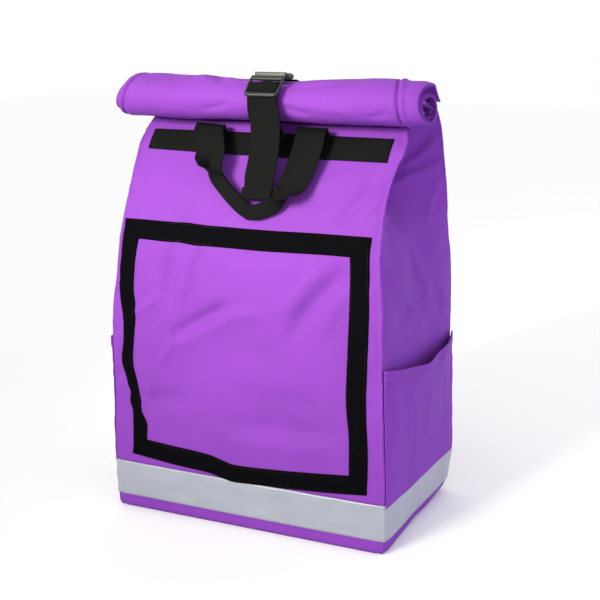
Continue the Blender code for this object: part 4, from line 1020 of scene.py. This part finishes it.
def make_roll_layer(name, shrink, nodes):
    """One layer of the rolled cloth: a spiral section carried along X with the roll's dents, folds
    that fade on the inner turns, and a sewn groove near each end."""
    spans_x = ((-1.022, -0.86, 20, False), (-0.86, 0.78, 92, False), (0.78, 1, 28, True))
    x = np.concatenate([np.linspace(a, b, count, endpoint=end) for a, b, count, end in spans_x])
    depth, height, lift, slant = (
        np.interp(x, ROLL_STATIONS[:, 0], ROLL_STATIONS[:, k])[:, None] for k in range(1, 5)
    )
    outer = np.linspace(0, 2 * math.pi * 1.12, 100)
    inner = np.linspace(2 * math.pi * 1.12, 2 * math.pi * ROLL_TURNS, 52)[1:]
    angle = np.concatenate([outer, inner])[None]
    turns = angle / (2 * math.pi)
    y, z = roll_line(angle, depth, height, lift, shrink)
    # Past the mouth's right corner nothing carries the tail, and it hangs.
    z = z - 0.0120 * smooth_step(x, 0.81, 0.95)[:, None] * np.exp(-((turns / 0.045) ** 2))
    px = ROLL_SHIFT_X + x[:, None] * ROLL_LENGTH / 2 + slant * (z - ROLL_CENTRE_Z)
    # The tail narrows to the mouth's width, and the front of the right end is turned back a little.
    narrow = (0.008 * smooth_step(x, 0.5, 1.0) - 0.013 * smooth_step(-x, 0.5, 1.0))[:, None]
    px = px - narrow * (1 - smooth_step(turns, 0.0, 0.12))
    facing = np.clip((ROLL_CENTRE_Y - y) / (ROLL_DEPTH / 2), 0, 1) * (1 - smooth_step(turns, 0.80, 1.05))
    px = px - 0.009 * smooth_step(x, 0.80, 1.0)[:, None] * facing
    points = np.stack([px, y, z], -1)
    normal = unit(np.cross(np.gradient(points, axis=1), np.gradient(points, axis=0)))
    from_centre = np.stack([px - px, y - ROLL_CENTRE_Y, z - ROLL_CENTRE_Z], -1)
    flip = np.sign((from_centre * normal)[:, :60].sum())
    normal = normal * flip
    around = np.arctan2(z - ROLL_CENTRE_Z, -(y - ROLL_CENTRE_Y))
    degrees = np.degrees(around)
    inside = smooth_step(turns, 0.95, 1.12)
    skin = 1 - inside
    fade = smooth_step(turns, 0.03, 0.12)
    relief = fold_height(px, degrees * MM, ROLL_FOLDS) * skin * fade
    # The strap pulls the cloth tight.
    strap = np.exp(-(((px - STRAP_X - 0.002) / 0.030) ** 2))
    relief -= 0.0016 * strap * skin * (degrees > -60)
    wave = lattice_noise(px, around * 0.034, 0.040, 71)
    fine = lattice_noise(px, around * 0.034, 0.016, 72)
    relief += (0.0011 * wave + 0.00035 * fine) * fade * (0.6 + 0.4 * skin)
    for seam, tilt, deep in ((-185.0, 0.10, 0.0042), (192.0, -0.10, 0.0046)):
        line = seam + tilt * (np.minimum(degrees, 90) - 20) * (1 + 0.004 * degrees)
        distance = (px * 1000 - (line + 2.0 * np.sin(np.radians(degrees) * 1.3))) / 1000
        beyond = distance * np.sign(seam)
        relief -= deep * np.exp(-((distance / 0.0016) ** 2)) * skin * fade
        relief += 0.0026 * np.exp(-(((beyond - 0.0055) / 0.0035) ** 2)) * skin
        relief -= 0.0016 * smooth_step(beyond, 0.0, 0.004) * skin
    end = np.clip((np.abs(x) - 0.955) / 0.045, 0, 1)[:, None]
    relief -= np.where(x < 0, 0.0042, 0.0010)[:, None] * end**2.2
    # The inner turns sag away from the outer one at the open right end.
    sag = smooth_step(x, 0.88, 1.0)[:, None] * smooth_step(turns, 1.0, 1.25)
    points[..., 2] -= 0.0045 * sag
    points[..., 0] -= 0.0050 * sag * (1 + lattice_noise(around * 0.02, turns, 0.011, 77))
    points = points + normal * relief[..., None]
    across = np.concatenate([[0], np.cumsum(np.hypot(np.diff(y[60]), np.diff(z[60])))])
    uv = np.stack(np.broadcast_arrays(px, across[None]), -1)
    if flip > 0:
        points, uv = points[::-1], uv[::-1]
    obj = grid_mesh(name, points, uv)
    wall(obj, ROLL_CLOTH, 0)
    place(obj, purple_cloth, "purple_cloth", nodes)


make_roll_layer("rolled_top_outer_cloth", -0.0007, ("rolled_top",))
make_roll_layer("rolled_top_inner_cloth", 0.0012, ())


def on_roll(x, degrees, stand):
    """(y, z) at that height over the roll's skin: 0 degrees faces the front, 90 is its top."""
    at = ROLL_STATIONS[:, 0] * ROLL_LENGTH / 2 + ROLL_SHIFT_X
    depth, height, lift = (np.interp(x, at, ROLL_STATIONS[:, k]) for k in (1, 2, 3))
    half_depth, half_height = ROLL_DEPTH / 2 * depth, ROLL_HEIGHT / 2 * height
    turn = math.radians(degrees)
    point = np.array([
        ROLL_CENTRE_Y - half_depth * math.cos(turn),
        ROLL_CENTRE_Z + lift * ROLL_HEIGHT + half_height * math.sin(turn),
    ])
    normal = unit(np.array([-math.cos(turn) / half_depth, math.sin(turn) / half_height]))
    return point + normal * stand, normal


# ---- webbing ----------------------------------------------------------------------------------------


def ribbon(name, path, across, widths, nodes=(), fold=0.0, sides=5):
    """Webbing along a path: a thin section with rounded edges. Where fold is above 0, the half on the
    far side of the middle turns back behind the other by that share of half a turn."""
    path = np.asarray(path, float)
    tangent = unit(np.gradient(path, axis=0))
    side = unit(across - tangent * (across * tangent).sum(1, keepdims=True))
    out = np.cross(side, tangent)
    w = np.linspace(-1, 1, sides * 4 + 1)
    half = (np.broadcast_to(widths, len(path)) / 2)[:, None]
    fold = np.broadcast_to(fold, len(path))
    arc = w[None] * half
    psi = (math.pi * fold)[:, None] * smooth_step(-arc, -0.0026, 0.0026)
    step = np.diff(arc, axis=1)
    middle = (psi[:, 1:] + psi[:, :-1]) / 2
    zero = np.zeros((len(path), 1))
    lateral = np.concatenate([zero, np.cumsum(np.cos(middle) * step, 1)], 1)
    back = np.concatenate([zero, np.cumsum(np.sin(middle) * step, 1)], 1)
    lateral = lateral - lateral[:, sides * 2, None] - half * (1 - np.cos(math.pi * fold))[:, None] / 4
    back = back - back[:, sides * 2, None]
    points = path[:, None] + side[:, None] * lateral[..., None] + out[:, None] * back[..., None]
    uv = np.stack(np.broadcast_arrays(arc + 0.02, run_length(path)[:, None]), -1)
    obj = grid_mesh(name, points, uv)
    wall(obj, WEBBING_THICK, 0)
    edge = obj.modifiers.new("edge", "BEVEL")
    edge.width = 0.00035
    edge.segments = 1
    edge.limit_method = "ANGLE"
    edge.angle_limit = math.radians(50)
    place(obj, black_webbing, "black_webbing", nodes)


# The handle's loop: place across, way forward, way down, how far it is folded in half, as shares
HANDLE = np.array([
    (-1.00, 0.05, 0.02, 0.00),
    (-0.97, 0.17, 0.03, 0.00),
    (-0.90, 0.27, 0.14, 0.00),
    (-0.78, 0.40, 0.30, 0.00),
    (-0.69, 0.48, 0.46, 0.40),
    (-0.55, 0.53, 0.62, 0.92),
    (-0.31, 0.58, 0.78, 1.00),
    (-0.07, 0.61, 0.92, 1.00),
    (0.13, 0.63, 1.00, 1.00),
    (0.36, 0.62, 0.97, 1.00),
    (0.56, 0.60, 0.90, 0.95),
    (0.72, 0.56, 0.80, 0.50),
    (0.84, 0.50, 0.68, 0.08),
    (0.93, 0.40, 0.50, 0.00),
    (1.00, 0.27, 0.24, 0.00),
    (1.00, 0.16, 0.05, 0.00),
    (0.98, 0.05, 0.02, 0.00),
])
HANDLE_SPREAD, HANDLE_CENTRE_X, HANDLE_DROP, HANDLE_HEAD = 0.146, 0.003, 0.103, 0.535


def make_handle():
    """The carry handle: sewn to the band at both ends, folded forward, hanging in a loop whose grip
    is folded in half."""
    stand = BAND_STAND + WEBBING_THICK * 1.5 + 0.0012
    half = HANDLE_SPREAD / 2
    root = front_y(HANDLE_CENTRE_X, BAND_HEAD) - 0.004
    loop = np.column_stack([
        HANDLE_CENTRE_X + HANDLE[:, 0] * half,
        root - HANDLE[:, 1] * HANDLE_DROP,
        HANDLE_HEAD - HANDLE[:, 2] * HANDLE_DROP,
        HANDLE[:, 3],
    ])
    ends = []
    for side in (-1, 1):
        x = HANDLE_CENTRE_X + side * half
        z = np.array([BAND_FOOT + 0.006, (BAND_FOOT + BAND_HEAD) / 2, BAND_HEAD - 0.006])
        sewn = front_point(x, z) + front_normal(x, z) * stand
        ends.append(np.column_stack([sewn, np.zeros(3)]))
    table = even_curve(np.vstack([ends[0], loop, ends[1][::-1]]), 190)
    path, fold = table[:, :3], np.clip(table[:, 3], 0, 1)
    across = np.cross([0.0, -1.0, 0.0], unit(np.gradient(path, axis=0)))
    strength = np.linalg.norm(across, axis=1)[:, None]
    share = np.linspace(0, 1, len(path))[:, None]
    plain = LEFTWARD * np.where(share < 0.5, -1.0, 1.0)
    hold = np.clip((np.abs(share - 0.5) * 2 - 0.50) / 0.12, 0, 1)
    across = unit(across / np.maximum(strength, 1e-6) * (1 - hold) + plain * hold)
    ribbon("carry_handle_webbing", path, across, WEBBING, ("carry_handle",), fold, 9)


make_handle()

LATCH_LENGTH, LATCH_ANGLE, LATCH_STAND = 0.034, 42.0, 0.0052
BUCKLE_THICK, BUCKLE_BAR, BUCKLE_WINDOW, MIDDLE_BAR = 0.0042, 0.0050, 0.0112, 0.0036
BUCKLE_WIDTH = WEBBING + 2 * (0.0008 + 0.0024)
SOCKET_LENGTH, SOCKET_THICK, SOCKET_ANGLE, SOCKET_BACK = 0.025, 0.0090, 94.0, -0.0015
SOCKET_WIDTH = 0.0435
GAP = 0.0003
LATCH_MIDDLE = -LATCH_LENGTH / 2 + BUCKLE_BAR + BUCKLE_WINDOW + MIDDLE_BAR / 2


def buckle_point(along, above):
    """(y, z) along the latch from its middle, at that height above the roll."""
    point, normal = on_roll(STRAP_X, LATCH_ANGLE, above)
    return point + np.array([normal[1], -normal[0]]) * along


def make_closure_strap():
    """Webbing sewn to the band, up behind the latch, round its middle bar and down to a hemmed tail."""
    t = WEBBING_THICK
    on_band = 0.0009 + WEBBING_THICK + GAP + t / 2
    bar = LATCH_MIDDLE
    bend = BUCKLE_THICK / 2 + GAP + t / 2 + 0.0005
    under = LATCH_STAND - BUCKLE_THICK / 2 - GAP - t / 2 - 0.0004
    low = -LATCH_LENGTH / 2 + BUCKLE_BAR / 2

    def over_band(z, stand):
        """(y, z) at that height over the band."""
        return (front_point(STRAP_X, z) + front_normal(STRAP_X, z) * stand)[1:]

    inner = [
        over_band(BAND_FOOT + 0.006, on_band),
        over_band((BAND_FOOT + BAND_HEAD) / 2, on_band),
        over_band(BAND_HEAD - 0.010, on_band + 0.002),
        on_roll(STRAP_X, -38, 0.0032)[0],
        on_roll(STRAP_X, -14, 0.0022)[0],
        on_roll(STRAP_X, 6, 0.0022)[0],
        buckle_point(low, under - t - 0.0006),
        buckle_point(bar - 0.006, LATCH_STAND - bend - 0.0002),
        buckle_point(bar, LATCH_STAND - bend),
    ]
    round_bar = np.radians([30, 60, 90, 120, 150])
    turn = [buckle_point(bar + bend * math.sin(a), LATCH_STAND - bend * math.cos(a)) for a in round_bar]
    outer = [
        buckle_point(bar, LATCH_STAND + bend),
        buckle_point(bar - MIDDLE_BAR / 2 - 0.0010, LATCH_STAND + bend),
        buckle_point(low + BUCKLE_BAR / 2 + 0.0015, under + 0.0002),
        buckle_point(low, under),
        buckle_point(low - 0.006, under - 0.0010),
        on_roll(STRAP_X, 4, 0.0060)[0],
        on_roll(STRAP_X, -14, 0.0064)[0],
    ]
    top_y, top_z = outer[-1]
    end = HANDLE_HEAD - 0.085
    shares = (0.18, 0.36, 0.54, 0.72, 0.88)
    hang = [(top_y - 0.0139 * share, top_z + (end - top_z) * share) for share in shares]
    line = np.array(inner + turn + outer + hang + [(top_y - 0.0176, end)])
    start = run_length(line)[len(inner) + len(turn) + 2]
    fine = resample(spline(line, 8), 170)
    tail = np.clip((run_length(fine) - start) / 0.107, 0, 1)
    path = np.column_stack([STRAP_X + 0.008 * np.sin(math.pi * tail * 0.9), fine])
    ribbon("closure_strap_webbing", path, LEFTWARD, WEBBING, ("closure_strap",))
    # The tail's hem: folded twice, and a little wider than the strap.
    tip = path[-1]
    down = unit(path[-1] - path[-4])
    out = np.array([0.0, -1.0, 0.0])
    angle = np.linspace(-0.2, math.pi * 1.05, 12)
    hem = tip + down * (0.0026 * np.sin(angle) - 0.004 * np.clip(angle / math.pi - 0.5, 0, 1))[:, None]
    hem = hem + out * (0.0024 * (1 - np.cos(angle)))[:, None]
    up = np.linspace(0, 1, 8)[1:, None]
    hem = np.vstack([hem, hem[-1] + (-down * 0.010 + out * 0.0004) * up])
    ribbon("closure_strap_hem", hem, LEFTWARD, WEBBING + 0.0015 * np.linspace(0, 1, len(hem)))


make_closure_strap()


def make_rear_strap():
    """Webbing from the socket's rear over the roll's tail and down the top of the back."""
    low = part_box("rear_strap")[0]
    back = PROFILE[:, [BACK_Y, BACK_Z]].copy()
    back[:, 0] += 0.5 * PROFILE[:, BELLY]
    line = back[back[:, 1] > low.z + 0.001][::-1]
    y, z = roll_line(np.linspace(0.02, 0.62, 10), 0.94, 0.93, -0.025, -0.0007)
    whole = np.vstack([np.column_stack([y, z])[::-1], line[::6]])
    whole = resample(spline(whole, 6), 60)
    slope = unit(np.gradient(whole, axis=0))
    path = whole + np.column_stack([-slope[:, 1], slope[:, 0]]) * 0.0030
    path = np.column_stack([np.full(len(path), STRAP_X), path])
    ribbon("rear_strap_webbing", path, LEFTWARD, WEBBING, ("rear_strap",))


make_rear_strap()

# ---- buckle ---------------------------------------------------------------------------------------------


def signed_power(value, power):
    """A power that keeps the sign."""
    return np.sign(value) * np.abs(value) ** power


def swept_bar(name, path, out, half_wide, half_high, power, closed=False):
    """A moulded bar: a rounded rectangular section |a|^p + |b|^p = 1 carried along a path."""
    path = np.asarray(path, float)
    if closed:
        tangent = unit(np.roll(path, -1, 0) - np.roll(path, 1, 0))
    else:
        tangent = unit(np.gradient(path, axis=0))
    out = unit(np.asarray(out, float) - tangent * (tangent @ out)[:, None])
    side = np.cross(tangent, out)
    turn = np.linspace(0, 2 * math.pi, 28, endpoint=False)
    a, b = signed_power(np.cos(turn), 2 / power), signed_power(np.sin(turn), 2 / power)
    wide = np.broadcast_to(half_wide, len(path))[:, None, None]
    high = np.broadcast_to(half_high, len(path))[:, None, None]
    points = path[:, None] + side[:, None] * (a[None, :, None] * wide)
    points = points + out[:, None] * (b[None, :, None] * high)
    if closed:
        points = np.concatenate([points, points[:1]])
    return grid_mesh(name, points, wrap=True, caps=not closed)


def join(name, parts):
    """One mesh out of several pieces: their points, corners and layouts one after another."""
    tables = []
    base = 0
    for obj in parts:
        mesh = obj.data
        reads = (
            (mesh.vertices, "co", 3, np.float32),
            (mesh.loops, "vertex_index", 1, np.int32),
            (mesh.polygons, "loop_total", 1, np.int32),
            (mesh.uv_layers["cloth"].data, "uv", 2, np.float32),
        )
        columns = [np.zeros(len(rows) * size, kind) for rows, _, size, kind in reads]
        for (rows, field, _, _), column in zip(reads, columns):
            rows.foreach_get(field, column)
        columns[1] += base
        base += len(mesh.vertices)
        tables.append(columns)
    points, corners, sizes, layout = (np.concatenate(table) for table in zip(*tables))
    mesh = bpy.data.meshes.new(name)
    mesh.vertices.add(base)
    mesh.loops.add(len(corners))
    mesh.polygons.add(len(sizes))
    mesh.vertices.foreach_set("co", points)
    mesh.loops.foreach_set("vertex_index", corners)
    mesh.polygons.foreach_set("loop_start", np.append(0, np.cumsum(sizes)[:-1]).astype(np.int32))
    mesh.update(calc_edges=True)
    mesh.uv_layers.new(name="cloth").data.foreach_set("uv", layout)
    mesh.shade_smooth()
    for obj in parts:
        bpy.data.objects.remove(obj)
    return add_object(name, mesh)


def rounded_block(name, centre, axes, half, power, rows=33, columns=64):
    """A moulded block: a superellipsoid, |x|^p + |y|^p + |z|^p = 1, stretched along its three axes."""
    v = np.linspace(-math.pi / 2, math.pi / 2, rows)[1:-1, None]
    u = np.linspace(0, 2 * math.pi, columns, endpoint=False)[None]
    flat = signed_power(np.cos(v), 2 / power)
    x, y = flat * signed_power(np.cos(u), 2 / power), flat * signed_power(np.sin(u), 2 / power)
    z = signed_power(np.sin(v), 2 / power) * np.ones_like(u)
    local = np.stack([x * half[0], y * half[1], z * half[2]], -1)
    return grid_mesh(name, centre + local @ np.asarray(axes), wrap=True, caps=True)


def loop_path(centre, along, across, length, width, radius, count=10):
    """A rectangle with round corners, as a closed line."""
    points = []
    for sx, sy, start in ((1, 1, 0), (-1, 1, 90), (-1, -1, 180), (1, -1, 270)):
        turn = np.radians(np.linspace(start, start + 90, count))
        points.append(
            np.column_stack([
                sx * (width / 2 - radius) + radius * np.cos(turn),
                sy * (length / 2 - radius) + radius * np.sin(turn),
            ])
        )
    flat = np.vstack(points)
    return centre + np.outer(flat[:, 0], across) + np.outer(flat[:, 1], along)


def roll_axes(angle, above):
    """A place over the roll under the strap, with the directions along the strap and outwards."""
    (y, z), normal = on_roll(STRAP_X, angle, above)
    along = np.array([0.0, normal[1], -normal[0]])
    return np.array([STRAP_X, y, z]), along, np.array([0.0, normal[0], normal[1]])


def make_buckle():
    """The latch frame with its middle bar, and the socket with its lips and side prongs."""
    across = -LEFTWARD
    bars = across * np.linspace(-1, 1, 24)[:, None]
    centre, along, out = roll_axes(LATCH_ANGLE, LATCH_STAND)
    ring = loop_path(centre, along, across, LATCH_LENGTH - 0.0046, BUCKLE_WIDTH - 0.0030, 0.0042)
    at_foot = smooth_step(-((ring - centre) @ along), LATCH_LENGTH * 0.36, LATCH_LENGTH * 0.44)
    rail, thick = 0.0015 + 0.0011 * at_foot, 0.0021 + 0.0003 * at_foot
    frame_ring = swept_bar("latch_ring", ring, out, rail, thick, 3.0, closed=True)
    line = centre + along * LATCH_MIDDLE + bars * (BUCKLE_WIDTH / 2 - 0.0016)
    middle = swept_bar("latch_bar", line, out, MIDDLE_BAR / 2, 0.0019, 3.0)
    line = centre + along * (LATCH_LENGTH / 2 - 0.0034) + bars * (BUCKLE_WIDTH / 2 - 0.0014)
    head = swept_bar("latch_head", line, out, 0.0034, 0.0021, 3.5)
    latch = join("buckle_latch_moulding", [frame_ring, middle, head])
    place(latch, black_plastic, "black_plastic", ("buckle_latch",))
    centre, along, out = roll_axes(SOCKET_ANGLE, SOCKET_THICK / 2 + 0.0008)
    centre[1] += SOCKET_BACK
    axes = np.stack([across, along, out])
    half = np.array([SOCKET_WIDTH / 2 * 0.97, SOCKET_LENGTH / 2, SOCKET_THICK / 2])
    body = rounded_block("socket_body", centre, axes, half, 7.0, 49, 96)
    edge = bars * (SOCKET_WIDTH / 2 - 0.0006)
    line = centre - along * (SOCKET_LENGTH / 2 - 0.0022) + out * 0.0006 + edge
    lip = swept_bar("socket_lip", line, out, 0.0020, SOCKET_THICK / 2 - 0.0002, 4.0)
    line = centre + along * (SOCKET_LENGTH / 2 - 0.0020) + edge
    tail_bar = swept_bar("socket_tail", line, out, 0.0022, SOCKET_THICK / 2 - 0.0016, 3.0)
    prongs = []
    for s in (-1, 1):
        place_at = centre + across * s * (SOCKET_WIDTH / 2 - 0.0010) - along * 0.0005
        prongs.append(rounded_block("prong", place_at, axes, (0.0020, 0.0070, 0.0022), 4.0, 17, 28))
    socket = join("buckle_socket_moulding", [body, lip, tail_bar, *prongs])
    place(socket, black_plastic, "black_plastic", ("buckle_socket",))


make_buckle()

# ---- shoulder straps ---------------------------------------------------------------------------------

# The shoulder straps: way down, way out to the side, stand-off, width, thickness, as shares
SHOULDER = np.array([
    (0.00, 0.00, 0.22, 0.80, 0.60),
    (0.10, 0.03, 0.34, 0.94, 0.95),
    (0.30, 0.14, 0.78, 1.00, 1.00),
    (0.55, 0.30, 1.00, 1.00, 1.00),
    (0.80, 0.45, 0.84, 0.94, 1.00),
    (0.95, 0.54, 0.60, 0.74, 0.90),
    (1.00, 0.57, 0.52, 0.58, 0.60),
])
SHOULDER_WIDTH, SHOULDER_THICK, SHOULDER_SPREAD = 0.062, 0.012, 0.124
SHOULDER_STAND, SHOULDER_TOP, SHOULDER_LENGTH = 0.038, 0.462, 0.280
LOWER_WEBBING, LOWER_SPREAD, LOWER_ANCHOR = 0.025, 0.250, 0.086
LOCK_BAR, LOCK_WINDOW, LOCK_THICK = 0.0040, 0.0070, 0.0030


def back_surface(z):
    """The middle of the back panel at these heights."""
    return np.interp(z, PROFILE[:, BACK_Z], PROFILE[:, BACK_Y] + 0.5 * PROFILE[:, BELLY])


def shoulder_table(side, count):
    """A shoulder strap's middle line with its width and thickness."""
    z = SHOULDER_TOP - SHOULDER[:, 0] * SHOULDER_LENGTH
    spread = SHOULDER_SPREAD / 2 + (LOWER_SPREAD - SHOULDER_SPREAD) / 2 * SHOULDER[:, 1]
    y = back_surface(z) + SHOULDER[:, 2] * SHOULDER_STAND
    sizes = SHOULDER[:, 3] * SHOULDER_WIDTH, SHOULDER[:, 4] * SHOULDER_THICK
    return even_curve(np.column_stack([side * spread, y, z, *sizes]), count)


def make_shoulder_strap(name, side, node):
    """A padded strap: a crowned section, |cos|^0.62 wide and |sin|^0.9 high, carried down its path,
    with two sewn channels, soft ripples and a binding along both edges."""
    table = shoulder_table(side, 120)
    path = table[:, :3]
    tangent = unit(np.gradient(path, axis=0))
    across = unit(np.cross(tangent, [0.0, 1.0, 0.0]))
    out = np.cross(across, tangent)
    turn = np.linspace(0, 2 * math.pi, 72, endpoint=False)
    high = signed_power(np.sin(turn), 0.9)[None]
    swell = np.abs(high)
    run = run_length(path)[:, None]
    half = table[:, 3, None] / 2
    flat = signed_power(np.cos(turn), 0.62)[None] * half
    channel = np.exp(-(((np.abs(flat) - half * 0.42) / 0.0022) ** 2)) * 0.0013
    ripple = 0.0007 * lattice_noise(run, flat * 0.5, 0.013, 81) + 0.0004 * np.sin(run * 260) * swell
    tips = smooth_step(np.minimum(run, run[-1] - run), -0.002, 0.008)
    crown = swell * table[:, 4, None] / 2 - channel * swell + ripple * swell
    crown = np.maximum(crown, 0.0) * (0.35 + 0.65 * tips) * np.sign(high)
    points = path[:, None] + across[:, None] * flat[..., None] + out[:, None] * crown[..., None]
    uv = np.stack(np.broadcast_arrays(run_length(points[60])[None], run), -1)
    obj = grid_mesh(name, points[::-1], uv, wrap=True, caps=True)
    place(obj, black_mesh, "black_padding", (node,))
    # Binding: a narrow webbing bead round both long edges.
    edges = [path + across * (s * (half - 0.0006)) for s in (-1, 1)]
    beads = [swept_bar("bead", line, np.array([0.0, 1.0, 0.0]), 0.0022, 0.0030, 2.6) for line in edges]
    place(join(name + "_binding", beads), black_binding, "black_webbing")


def make_lower_webbing(name, side, node):
    """Narrow webbing: under, over and under the lock's bars, then down to the foot of the back."""
    table = shoulder_table(side, 15)
    end = table[-1, :3]
    anchor = np.array([side * LOWER_SPREAD / 2, back_surface(LOWER_ANCHOR), LOWER_ANCHOR])
    slope = unit(anchor - end)
    across = unit(np.cross(slope, [0.0, 1.0, 0.0]))
    out = np.cross(across, slope)
    length = 3 * LOCK_BAR + 2 * LOCK_WINDOW
    middle = end + slope * (length / 2 + 0.0035)
    over = LOCK_THICK / 2 + GAP + WEBBING_THICK / 2 + 0.0003
    step = LOCK_BAR + LOCK_WINDOW
    path = []
    for bar, above in ((-step, -over), (0.0, over), (step, -over)):
        path += [middle + slope * (bar + s * LOCK_BAR * 0.5) + out * above for s in (-1, 1)]
    sewn = anchor + np.array([0.0, 0.0027, 0.0])
    low = sewn + np.array([-side * 0.001, 0.0009, 0.012])
    path += [path[-1] * (1 - t) + low * t for t in (0.33, 0.66, 1.0)]
    path.append(sewn)
    line = even_curve(np.array(path), 90)
    ribbon(name, line, across, LOWER_WEBBING, (node,), sides=4)


for name, side in (("right", 1), ("left", -1)):
    make_shoulder_strap("shoulder_pad_" + name, side, "shoulder_strap_" + name)
    make_lower_webbing("lower_webbing_" + name, side, "strap_webbing_" + name)
    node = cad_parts["ladder_lock_" + name]
    node.data.materials.clear()
    node.data.materials.append(black_plastic)

# ---- stage, light and camera -----------------------------------------------------------------------------


def make_stage():
    """A wide pale floor."""
    x, y = np.meshgrid(np.linspace(-6, 6, 5), np.linspace(-4, 8, 5))
    floor = grid_mesh("floor", np.stack([x, y, np.full_like(x, -0.0004)], -1))
    paper = Finish("pale_floor", (1.0, 1.0, 1.0), 0.85)
    paper.shade(paper.noise(paper.places("Object"), 3.0), (0.2, 0.965), (0.8, 0.98))
    floor.data.materials.append(paper.material)


def add_light(name, place_at, aim, size, power, spread, colour):
    """A rectangular area light, turned towards its aim."""
    data = bpy.data.lights.new(name, "AREA")
    data.shape = "RECTANGLE"
    data.size, data.size_y = size
    data.energy = power
    data.spread = math.radians(spread)
    data.color = colour
    lamp = add_object(name, data)
    lamp.location = place_at
    way = Vector(aim) - Vector(place_at)
    lamp.rotation_euler = way.to_track_quat("-Z", "Y").to_euler()


make_stage()
scene = bpy.context.scene
scene.view_settings.view_transform = "Standard"
scene.view_settings.look = "None"
world = bpy.data.worlds.new("studio")
world.use_nodes = True
world.node_tree.nodes["Background"].inputs["Color"].default_value = (1.0, 1.0, 1.0, 1)
world.node_tree.nodes["Background"].inputs["Strength"].default_value = 1.0
scene.world = world
add_light("key", (-0.45, -1.55, 1.05), (0.02, -0.10, 0.46), (0.6, 0.5), 3.1, 40, (1.0, 0.99, 0.80))
add_light("front_fill", (0.2, -3.0, 0.9), (0, 0, 0.30), (1.2, 0.8), 2, 180, (1.0, 1.0, 1.0))
add_light("side_fill", (2.4, -0.15, 0.22), (0.2, 0, 0.28), (1.0, 0.3), 8.5, 180, (0.30, 0.08, 1.0))

camera_data = bpy.data.cameras.new("camera")
camera_data.lens = 67.76
camera_data.sensor_width = 36
camera = add_object("camera", camera_data)
camera.location = (0.6440, -1.3717, 0.6601)
camera.rotation_euler = (math.radians(90 - 13.72), 0, math.radians(24.18))
scene.camera = camera
